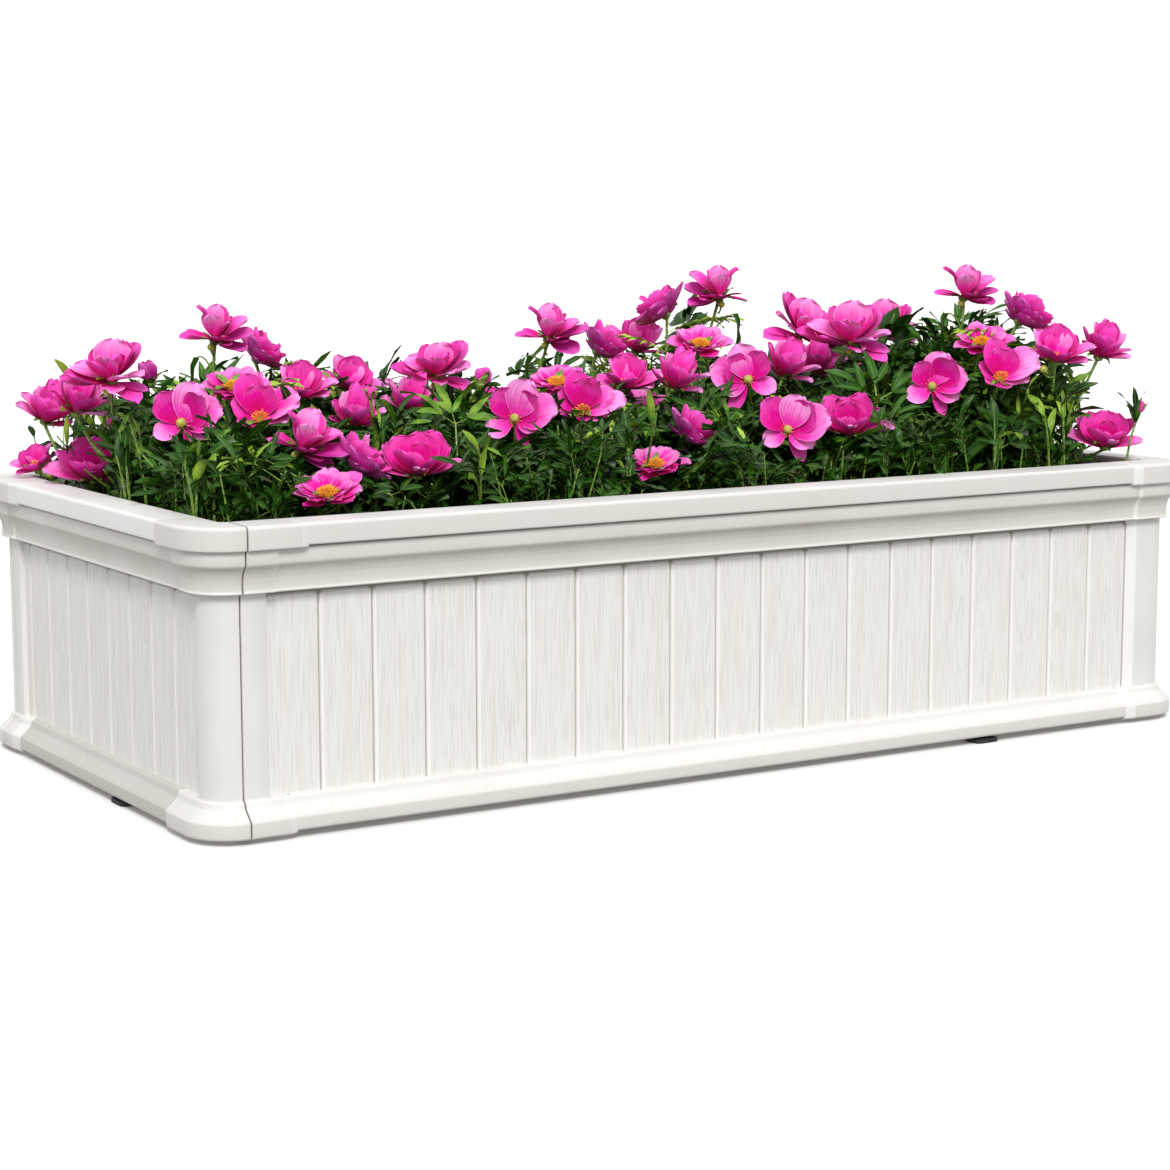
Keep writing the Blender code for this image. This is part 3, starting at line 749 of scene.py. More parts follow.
@dataclass
class BoardGrain:
    """The grain of sawn boards, cut into a panel's face: long ridges that close in arches."""

    ridge: float = 3.0 * MM
    stretch: float = 11.0
    wander: float = 8.0 * MM
    depth: float = 0.22 * MM

    def build(self) -> Tree:
        """Makes the tree. It moves the points of the attribute "front", and keeps the height as "grain".

        Returns:
            A Geometry Nodes tree with the wall's frame and the boards' sizes as inputs.
        """
        inputs = (
            ("Outward", "Vector", None), ("First Board", "Float", 0.0), ("Pitch", "Float", 0.05715),
            ("Depth", "Float", self.depth), ("Seed", "Float", 0.0), ("Finish", "Material", None),
        )  # fmt: skip
        tree, add, held, end = new_tree("grain of sawn boards", inputs)
        made: dict[str, Any] = dict(held.items())
        for name in ("along", "front"):
            made[name] = add("GeometryNodeInputNamedAttribute", {0: name}, data_type="FLOAT")
        made["height"] = add("SeparateXYZ", {0: add("GeometryNodeInputPosition")}).outputs[2]

        def follow(*rows: tuple[Any, ...]) -> None:
            """Adds each row's nodes.

            Args:
                rows: a name, then sums or kinds of node, each with its values or earlier names. The first
                    takes all its inputs from the row, and a later one puts the last result before them.
            """
            for name, *words in rows:
                steps: list[list[Any]] = []
                for word in words:
                    if isinstance(word, str) and word not in made:
                        steps.append([word])
                    else:
                        steps[-1].append(made.get(word, word))
                for number, (kind, *values) in enumerate(steps):
                    given = dict(enumerate([made[name], *values] if number else values))
                    made[name] = add("Math", given, operation=kind) if kind.isupper() else add(kind, given)

        follow(
            ("share", "SUBTRACT", "along", "First Board", "DIVIDE", "Pitch"),
            ("board", "FLOOR", "share"),
            ("across", "SUBTRACT", "share", "board", "MULTIPLY", "Pitch"),
            ("draw", "ADD", "board", "Seed"),
        )
        luck = add("TexWhiteNoise", {"W": made["draw"]}, noise_dimensions="1D").outputs["Color"]
        made["luck_x"], made["luck_y"], made["luck_z"] = add("SeparateXYZ", {0: luck}).outputs
        noises = (("wobble", 0.030, 0.085, 3.7, 1.5), ("fine", 0.0017, 0.060, 5.1, 2.0))
        for name, wide, high, apart, detail in noises:
            follow(
                ("x", "DIVIDE", "across", wide),
                ("y", "DIVIDE", "height", high),
                ("z", "MULTIPLY", "board", apart),
                ("place", "CombineXYZ", "x", "y", "z"),
            )
            made[name] = add("TexNoise", {"Vector": made["place"], "Scale": 1.0, "Detail": detail})
        follow(
            ("wobble", "SUBTRACT", "wobble", 0.5, "MULTIPLY", self.wander),
            ("centre", "MULTIPLY_ADD", "luck_x", 0.9, 0.05, "MULTIPLY", "Pitch"),
            ("aside", "SUBTRACT", "across", "centre", "ADD", "wobble"),
            ("aside", "MULTIPLY", "aside", "aside"),
            ("peak", "MULTIPLY_ADD", "luck_y", 0.44, -0.10),
            ("above", "SUBTRACT", "height", "peak", "DIVIDE", self.stretch),
            ("above", "MULTIPLY", "above", "above"),
            ("distance", "ADD", "aside", "above", "SQRT"),
            ("ridges", "MULTIPLY", "distance", tau / self.ridge, "SINE", "MULTIPLY", 0.34),
            ("ridges", "MULTIPLY", "ridges", "luck_z"),
            ("fine", "SUBTRACT", "fine", 0.5, "MULTIPLY", 2.6),
            ("edge", "FRACT", "share", "SUBTRACT", 0.5, "ABSOLUTE"),
        )
        margin = {0: made["edge"], 1: 0.5 - 0.030, 2: 0.5 - 0.085, 3: 0.0, 4: 1.0}
        made["inside"] = add("MapRange", margin, interpolation_type="SMOOTHSTEP")
        follow(
            ("relief", "ADD", "ridges", "fine", "MULTIPLY", "inside", "MULTIPLY", "front"),
            ("lift", "MULTIPLY", "relief", "Depth"),
            ("kept", "MULTIPLY_ADD", "relief", 0.5, 0.5),
        )
        push = add("VectorMath", {0: held["Outward"], 3: made["lift"]}, operation="SCALE")
        moved = add("GeometryNodeSetPosition", {"Geometry": held["Geometry"], "Offset": push})
        store = {"Geometry": moved, "Name": "grain", "Value": made["kept"]}
        kept = add("GeometryNodeStoreNamedAttribute", store, data_type="FLOAT", domain="POINT")
        real = add("GeometryNodeRealizeInstances", {"Geometry": kept})
        dressed = add("GeometryNodeSetMaterial", {"Geometry": real, "Material": held["Finish"]})
        plug(end, {0: dressed})
        return tree


@dataclass
class Wall:
    """One side of the moulded box: its boards, mouldings, end stile, corner post and foot."""

    side: Side
    plan: Plan
    palette: Palette
    corner_steps: int = 16
    edge: float = 0.9 * MM  # the rounding of the castings' upright edges
    softness: float = 1.5 * MM  # the rounding along the mouldings
    seam_depth: float = 2.6 * MM  # how deep in a seam its dark sheet of painted shade lies
    rows: int = 18
    board_columns: int = 50
    board_corner: float = 6.0 * MM  # the rounding of each board's upper corners
    foot_size: tuple[float, float] = (0.032, 0.024)

    def __post_init__(self) -> None:
        """Works out the wall's frame, and the sizes of what stands on it."""
        plan, angle = self.plan, self.side.value * pi / 2
        self.is_long = self.side.value % 2 == 0
        self.length, depth = plan.long_side, plan.short_side
        self.boards, self.margin, self.post_width = plan.long_boards, 0.0, plan.long_post
        self.ends, self.shaft_bevel, foot = LONG_ENDS, 0.0114, 16.15
        if not self.is_long:
            self.length, depth = depth, self.length
            self.boards, self.margin, self.post_width = plan.short_boards, plan.short_margin, plan.short_post
            self.ends, self.shaft_bevel, foot = SHORT_ENDS, 0.0079, 6.13
        self.foot_place = foot * plan.pitch
        self.run = Vector((round(cos(angle)), round(sin(angle)), 0))
        self.outward = Vector((round(sin(angle)), -round(cos(angle)), 0))
        self.start = self.outward * depth / 2 - self.run * self.length / 2

    def build(self, after: str, grain: Tree) -> None:
        """Makes the wall's pieces.

        Args:
            after: the label of the wall at its right end.
            grain: the tree that cuts the boards' grain.
        """
        self.panel(grain)
        for rail in Rail:
            self.moulding(rail)
        self.stile()
        self.post(f"{self.side.label}_{after}" if self.is_long else f"{after}_{self.side.label}")
        self.foot()

    def point(self, u: float, o: float, z: float) -> Vector:
        """The place at u along this wall, o outside its boards and z above the ground."""
        return self.start + self.run * u + self.outward * o + Vector((0, 0, z))

    def ring(self, u: float, section: Section) -> list[Vector]:
        """A section placed across this wall at u."""
        return [self.point(u, o, z) for o, z in section]

    def corner_rings(self, section: Section, steps: int) -> Rings:
        """A section carried round the corner at this wall's right end.

        Args:
            section: the section.
            steps: how many chords make the quarter turn.

        Returns:
            The rings, one more than the steps.
        """
        radius = self.plan.stile_start
        centre = self.point(self.length - radius, -radius, 0)
        rings = []
        for step in range(steps + 1):
            angle = step / steps * pi / 2
            way = self.outward * cos(angle) + self.run * sin(angle)
            rings.append([centre + way * (radius + o) + Vector((0, 0, z)) for o, z in section])
        return rings

    def panel(self, grain: Tree) -> None:
        """Makes the upright boards, with their grain in the mesh.

        Args:
            grain: the tree that cuts it.
        """
        plan = self.plan
        left, right = plan.stile_end - 0.002, self.length - self.post_width + 0.002
        first = plan.stile_end + self.margin
        half = plan.groove_width / 2
        stops = [first + k * plan.pitch for k in range(self.boards + 1)]
        columns = [left + (first - half - left) * i / 14 for i in range(14)] if self.margin else []
        for number, stop in enumerate(stops):
            across = (-1.0, -0.8, -0.6, -0.35, -0.1, 0.15, 0.4, 0.65, 0.85, 1.0, 1.25, 1.5)
            columns += [stop + share * half for share in across]
            if number < self.boards:
                span, count = plan.pitch - 2 * half, self.board_columns
                columns += [stop + half + span * i / count for i in range(2, count)]
        columns = [left, *(u for u in columns if left < u < right), right]
        low, high = plan.board_z - 0.001, plan.cove_z + 0.001
        fine = 13 * MM  # the upper end of the boards, where rows are closer
        rows = [low + (high - fine - low) * row / self.rows for row in range(self.rows)]
        rows += [high - fine + fine * step / 13 for step in range(14)]
        rings, painted_shades, highlight_amounts = [], [], []
        for z in rows:
            ring = []
            for u in columns:
                depth = self.groove_at(u, z, stops)
                ring.append(self.point(u, -depth * plan.groove_depth, z))
                # Painted shade in the grooves, most on their left side, in the boards' rounded upper corners
                # and in a line under the cove's lip; a painted highlight on each groove's right edge.
                offset = min((u - stop for stop in stops), key=abs) / half
                is_low = z < plan.cove_z - self.board_corner
                under_lip = 1.0 - abs(z - plan.cove_z + 0.5 * MM) / (1.2 * MM)
                beside = 1.0 - abs(offset + 0.2) / 0.7 if is_low else depth
                painted_shades.append(max(depth * beside, under_lip, 0.0))
                highlight_amounts.append(max(1.0 - abs(offset - 0.95) / 0.65, 0.0) if is_low else 0.0)
            rings.append([*ring, *(self.point(u, -plan.wall_depth, z) for u in (right, left))])
            painted_shades += [0.0, 0.0]
            highlight_amounts += [0.0, 0.0]
        draft = Draft()
        draft.add_loft(rings)
        piece = draft.to_object(f"{self.side.label}_boards", [self.palette.boards], 40)
        along = [*columns, right, left] * len(rows)
        front = ([1.0] * len(columns) + [0.0, 0.0]) * len(rows)
        keep_numbers(piece, along=along, front=front, dust=painted_shades, wear=highlight_amounts)
        seed = 11.0 + 23.0 * self.side.value
        values = {"Outward": tuple(self.outward), "First Board": first, "Pitch": plan.pitch, "Seed": seed}
        run_tree(piece, grain, {**values, "Finish": self.palette.boards})
        dress(piece, Slot.PLASTIC, f"panel_{self.side.label}")

    def groove_at(self, u: float, z: float, stops: Sequence[float]) -> float:
        """How deep the groove round a board is at a spot.

        Args:
            u: how far along the wall.
            z: the height above the ground.
            stops: where the boards meet.

        Returns:
            The depth, from 0 on the board's face to 1 at the bottom.
        """
        half, turn, pitch = self.plan.groove_width / 2, self.board_corner, self.plan.pitch
        share = (u - stops[0]) / pitch
        board = floor(share)
        if u < stops[0] or board >= self.boards:
            sideways = min(abs(u - stop) for stop in (stops[0], stops[-1]))
        else:
            sideways = pitch * (0.5 - abs(share - board - 0.5))
        upwards = self.plan.cove_z - 0.0022 - z
        away = min(sideways, upwards)
        if sideways < turn and upwards < turn:
            away = turn - hypot(turn - sideways, turn - upwards)
        if upwards < 0 and sideways >= half:
            away = 0.0
        return max(0.0, 1.0 - max(away, 0.0) / half) ** 0.8

    def moulding(self, rail: Rail) -> None:
        """Makes the straight length of a moulding between the castings at its two ends.

        Args:
            rail: which moulding.
        """
        section = rounded(self.plan.section(rail), self.softness)
        tuck = 1.5 * MM  # how far it goes under each casting's bevel
        first = sum(self.ends[0].reach(rail, self.plan)) - tuck
        last = self.length - sum(self.ends[1].reach(rail, self.plan)) + tuck
        draft = Draft()
        draft.add_loft([self.ring(first + (last - first) * i / 6, section) for i in range(7)])
        finish = self.palette.plastic
        # On the left wall the base takes the copy with painted shade and the rim the copy with painted light.
        if self.side is Side.LEFT and rail is not Rail.COVE:
            finish = self.palette.dulled if rail is Rail.BASE else self.palette.washed
        piece = draft.to_object(f"{self.side.label}_{rail.value}_moulding", [finish], 30)
        dress(piece, Slot.PLASTIC, f"{rail.value}_rail_{self.side.label}")

    def shaft_section(self, proud: float) -> Section:
        """The upright part of a casting, as a section."""
        back, low, high = 0.4 * MM - self.plan.wall_depth, self.plan.base_z + 2 * MM, self.plan.rim_z + 2 * MM
        return [(back, low), (proud, low), (proud, high), (back, high)]

    def stile(self) -> None:
        """Makes the flat casting at the left end, with a dark sheet of painted shade in the bottom of its
        seam.
        """
        plan, edge = self.plan, self.edge
        start, end = plan.stile_start + plan.seam + 0.8 * MM, plan.stile_end
        draft = Draft()
        edges = ((0.0, edge), (edge * 0.4, edge * 0.3), (edge, 0.0))  # how far along, and how far drawn in
        stations = [(start + along, plan.proud - drawn) for along, drawn in edges]
        stations += [(end - along, plan.proud - drawn) for along, drawn in reversed(edges)]
        rings = [self.ring(u, self.shaft_section(proud)) for u, proud in (*stations, (end, -2 * MM))]
        draft.add_loft(rings)
        highlight_amounts = [0.0] * 4 * len(rings)
        for rail in Rail:
            section = rounded(plan.section(rail, casting=True), self.softness)
            reach, bevel = self.ends[0].reach(rail, plan)
            stations = [
                (reach + bevel, -0.4 * MM),
                (reach + bevel * 0.08, plan.swell * 0.93),
                (reach - bevel * 0.08, plan.swell),
                *((start + along, plan.swell - drawn) for along, drawn in reversed(edges)),
            ]
            draft.add_loft([self.ring(u, swollen(section, amount)) for u, amount in stations])
            # The two rings at each block's end carry a painted highlight.
            highlight_amounts += [0.3] * 2 * len(section) + [0.0] * 4 * len(section)
            self.add_seam(draft, highlight_amounts, swollen(section, plan.swell - self.seam_depth))
        self.add_seam(draft, highlight_amounts, self.shaft_section(plan.proud - self.seam_depth))
        finishes = [self.palette.plastic, self.palette.seam]
        piece = draft.to_object(f"{self.side.label}_end_stile_casting", finishes, 30)
        keep_numbers(piece, wear=highlight_amounts)
        dress(piece, Slot.PLASTIC, f"end_stile_{self.side.label}")

    def add_seam(self, draft: Draft, highlight_amounts: list[float], section: Section) -> None:
        """Adds a dark sheet of painted shade at the bottom of the seam between a stile and the post beside
        it.

        Args:
            draft: the stile.
            highlight_amounts: its painted highlight amounts, to which the seam's are added.
            section: the stile's section, drawn in by the seam's depth.
        """
        start = self.plan.stile_start
        ends = (start - self.edge, start + self.plan.seam + 0.8 * MM + self.edge)
        draft.add_loft([self.ring(u, section) for u in ends], 1)
        highlight_amounts += [0.0] * 2 * len(section)

    def post(self, pair: str) -> None:
        """Makes the rounded casting at the right end, round to the seam on the next wall.

        Args:
            pair: the labels of the two walls that it joins.
        """
        plan, start = self.plan, self.length - self.post_width
        stations = ((0, -2 * MM), (0, 0.2 * MM), (0.96, plan.proud - 0.2 * MM), (1.06, plan.proud))
        bevel = self.shaft_bevel
        shaft = [self.ring(start + bevel * share, self.shaft_section(proud)) for share, proud in stations]
        shaft += self.corner_rings(self.shaft_section(plan.proud), self.corner_steps)
        shaft = self.with_edge(shaft, self.shaft_section(plan.proud - self.edge))
        draft = Draft()
        draft.add_loft(shaft)
        # The shaft's bevel rings carry a painted highlight.
        highlight_amounts = [0.45 if 0 < i < 3 else 0.0 for i, ring in enumerate(shaft) for _ in ring]
        for rail in Rail:
            section = rounded(plan.section(rail, casting=True), self.softness)
            reach, bevel = self.ends[1].reach(rail, plan)
            stations = ((1, -0.4 * MM), (0.08, plan.swell * 0.93), (-0.08, plan.swell))
            rings = [
                self.ring(self.length - reach - bevel * share, swollen(section, amount))
                for share, amount in stations
            ]
            rings += self.corner_rings(swollen(section, plan.swell), self.corner_steps)
            rings = self.with_edge(rings, swollen(section, plan.swell - self.edge))
            draft.add_loft(rings)
            # The two rings at each block's end carry a painted highlight.
            highlight_amounts += [0.45 if i < 2 else 0.0 for i, ring in enumerate(rings) for _ in ring]
        piece = draft.to_object(f"{pair}_corner_post_casting", [self.palette.plastic], 30)
        keep_numbers(piece, wear=highlight_amounts)
        dress(piece, Slot.PLASTIC, f"corner_post_{pair}")

    def with_edge(self, rings: Rings, drawn_in: Section) -> Rings:
        """Rounds the upright edge where a casting ends at the seam.

        Args:
            rings: the casting's sections, the last of them at the seam.
            drawn_in: its section with the face drawn in by the size of the edge.

        Returns:
            The sections with a small rounded edge at the end.
        """
        final, full = self.corner_rings(drawn_in, 1)[-1], rings[-1]
        back = self.outward * self.edge
        inner = [point + back for point in full]
        middle = [a.lerp(b, 0.3) + back * 0.4 for a, b in zip(full, final)]
        return [*rings[:-1], inner, middle, final]

    def foot(self) -> None:
        """Makes the low rubber pad, with a softened lower edge."""
        u = self.foot_place
        length, width = self.foot_size
        middle = 0.0185 - width / 2
        rings = []
        for z, inset in ((0.0, 1.2), (0.3, 0.4), (1.0, 0.0), (4.7, 0.0)):
            ring = []
            for i in range(32):
                angle = (i + 0.5) / 32 * tau
                c, s = cos(angle), sin(angle)
                across = copysign(abs(c) ** 0.35, c) * (length / 2 - inset * MM)
                out = copysign(abs(s) ** 0.35, s) * (width / 2 - inset * MM)
                ring.append(self.point(u + across, middle + out, z * MM))
            rings.append(ring)
        draft = Draft()
        draft.add_loft(rings)
        piece = draft.to_object(f"{self.side.label}_rubber_foot", [self.palette.rubber], 35)
        dress(piece, Slot.RUBBER, f"foot_pad_{self.side.label}")


@dataclass
class SoilBed:
    """The soil: a lumpy surface inside the walls, mounded a little round each plant, with loose crumbs."""

    plan: Plan
    palette: Palette
    crowns: Sequence[tuple[float, float]]
    cells: tuple[int, int] = (110, 52)
    lump: float = 5 * MM
    crumbs: int = 900
    chance: random.Random = field(default_factory=lambda: random.Random(31))

    def __post_init__(self) -> None:
        """Draws the waves that lump the surface: each has a pace, a bearing and a phase."""
        ranges = ((20, 130), (0, tau), (0, tau))
        self.waves = [tuple(self.chance.uniform(*limits) for limits in ranges) for _ in range(26)]

    def height(self, x: float, y: float) -> float:
        """Finds how high the surface is.

        Args:
            x: where, along the bed.
            y: where, across the bed.

        Returns:
            The height above the ground.
        """
        total = 0.0
        for pace, turn, phase in self.waves:
            total += sin(pace * (x * cos(turn) + y * sin(turn)) + phase) / pace
        total *= 16 * self.lump
        for cx, cy in self.crowns:
            total += 6 * MM * exp(-((x - cx) ** 2 + (y - cy) ** 2) / 0.06**2)
        return self.plan.soil_z + (total - 3 * MM)

    def build(self) -> None:
        """Makes the soil."""
        plan, chance = self.plan, self.chance
        half_x = plan.long_side / 2 - plan.wall_depth - plan.fit
        half_y = plan.short_side / 2 - plan.wall_depth - plan.fit
        columns, rows = self.cells
        grid = np.zeros((rows + 1, columns + 1, 3))
        for r in range(rows + 1):
            for c in range(columns + 1):
                x, y = half_x * (2 * c / columns - 1), half_y * (2 * r / rows - 1)
                squash = 1 - 0.012 * (abs(x / half_x) ** 8) * (abs(y / half_y) ** 8)
                grid[r, c] = (x * squash, y * squash, self.height(x, y))
        draft = Draft()
        draft.add_sheet(grid, np.zeros((rows + 1, columns + 1, 2)))
        rim = [(0, c) for c in range(columns + 1)] + [(r, columns) for r in range(1, rows + 1)]
        rim += [(rows, c) for c in range(columns - 1, -1, -1)] + [(r, 0) for r in range(rows - 1, 0, -1)]
        top = np.array([grid[r, c] for r, c in rim])
        bottom = top.copy()
        bottom[:, 2] = 2 * MM
        size = len(rim)
        sides = [(i, size + i, size + (i + 1) % size, (i + 1) % size) for i in range(size)]
        draft.add(np.vstack([top, bottom]), [*sides, tuple(reversed(range(size, 2 * size)))])
        for _ in range(self.crumbs):
            x, y = chance.uniform(-half_x, half_x) * 0.97, chance.uniform(-half_y, half_y) * 0.97
            self.crumb(draft, Vector((x, y, self.height(x, y))))
        dress(draft.to_object("potting_soil", [self.palette.soil], 60), Slot.SOIL, "soil")

    def crumb(self, draft: Draft, place: Vector) -> None:
        """Adds one loose crumb: a dented eight-sided lump.

        Args:
            draft: the soil.
            place: where it lies.
        """
        chance = self.chance
        size = chance.uniform(1.5, 4.0) * MM
        spots = ((1, 0, 0), (0, 1, 0), (-1, 0, 0), (0, -1, 0), (0, 0, 1), (0, 0, -1))
        turn = Matrix.Rotation(chance.uniform(0, tau), 3, Vector((chance.random(), 1, 0.3)).normalized())
        points = [place + turn @ (Vector(spot) * size * chance.uniform(0.6, 1.1)) for spot in spots]
        faces = [(i, (i + 1) % 4, 4) for i in range(4)] + [((i + 1) % 4, i, 5) for i in range(4)]
        draft.add(np.array(points), faces)


# ======== the planting plan
class Bloom(Enum):
    """How a flower is open, and how it stands."""

    DOUBLE, OPEN, GOLD, CUP, FAN, BACK, SMALL = range(7)


class Habit(Enum):
    """How a bloom's petals are set. Several blooms share a habit, as on one clump of one variety."""

    WIDE, PLUME, SPREAD, BOWL, DISC, SIDE, DOME, FLARE, RUFFLE, BUDDING = range(10)


class Spot(NamedTuple):
    """A bloom: the middle of its solid in centimetres, its kind, its habit, and whether it is mirrored."""

    x: float
    y: float
    z: float
    kind: Bloom
    habit: Habit
    flip: bool = False
    scale: float = 1.0

    @property
    def centre(self) -> Vector:
        """Its middle in metres."""
        return Vector((self.x, self.y, self.z)) / 100


D, O, G, C, F, B, S = Bloom
WIDE, PLUME, SPREAD, BOWL, DISC, SIDE, DOME, FLARE, RUFFLE, BUDDING = Habit
# Each plant is (x, y) of its crown in centimetres and its flowering stems; a stem is a row of spots.
PLANTS: tuple[tuple[tuple[float, float], tuple[tuple[Any, ...], ...]], ...] = (
    ((-48, 11), (
        ((-57, 3, 43, D, WIDE), (-57, 12, 39, F, RUFFLE)),
        ((-55, 14, 32, C, BOWL), (-57, 22, 37.5, F, RUFFLE, True), (-58, 23, 31.8, S, FLARE, True, 0.7)),
        ((-42, 11, 46.5, D, PLUME), (-44, 2, 41, G, DISC), (-46, 20, 41, S, BUDDING)),
    )),
    ((-48, -11), (
        ((-52, -3, 38, O, SPREAD), (-45, -7, 38.5, G, SIDE), (-44, -15, 36.5, F, PLUME),
         (-45, -22, 32, G, DISC)),
    )),
    ((-25, 10), (
        ((-33, 20, 43, B, DOME), (-32, 11, 40, D, FLARE)),
        ((-23, 17, 40, F, FLARE), (-28, 5, 37, D, RUFFLE), (-21, 6, 38, F, RUFFLE, True),
         (-17, 7, 42, D, WIDE)),
    )),
    ((-25, -9), (
        ((-39, -16, 34, B, DOME), (-33, -18, 34, C, BOWL)),
        ((-17, -10, 37.5, O, SPREAD), (-9, -11, 38, G, SIDE)),
    )),
    ((-2, 10), (
        ((-5, 3, 46, D, PLUME), (-8, 13, 39.5, B, BUDDING)),
        ((7, 12, 43, B, DOME), (6, 4, 40, D, FLARE), (-1, 20, 35.5, C, BOWL)),
    )),
    ((-2, -10), (
        ((-8, -4, 40.5, G, DISC), (5, -8, 40.5, F, RUFFLE)),
        ((2, -14, 35, B, DOME), (-5, -19, 32.5, G, DISC)),
    )),
    ((23, 11), (
        ((21, 7, 50, D, PLUME, True), (19, 15, 47, B, DOME, True), (18, 20, 43, F, FLARE, True),
         (13, 12, 36, C, PLUME)),
        ((34, 8, 45, F, WIDE, True, 1.1), (31, 1, 41, D, RUFFLE), (30, -7, 45, D, WIDE, False, 1.1),
         (30, 19, 38, F, FLARE)),
    )),
    ((22, -11), (
        ((13, -1, 44, G, DISC, True), (14, -9, 40.5, O, SPREAD, True), (23, -4, 41, F, RUFFLE)),
        ((13, -18, 35.5, O, SPREAD), (22, -17, 35.5, C, BOWL)),
    )),
    ((46, 10), (
        ((41, 1, 45.5, D, WIDE), (43, 12, 41, F, FLARE)),
    )),
    ((46, -11), (
        ((46, -8, 50, D, PLUME), (43, -15, 44, G, DISC), (49, -14, 46.5, B, DOME)),
        ((34, -17, 39.5, O, SPREAD), (40, -22, 40.5, G, SIDE)),
        ((48, -22, 43, D, FLARE), (57, -20, 43, F, RUFFLE), (55.5, -22.5, 33, C, BOWL, False, 0.92)),
    )),
)  # fmt: skip


class Petal(NamedTuple):
    """One petal of a habit: its shape, its azimuth from where the bloom faces (positive to the right),
    its lean from the bloom's axis, its size, its width, how far up the axis it stands in millimetres,
    and its tint from 0, the darkest, to 1, the palest."""

    shape: str
    azimuth: float
    lean: float
    size: float
    width: float = 1.0
    rise: float = 3.0
    tint: float = 0.5
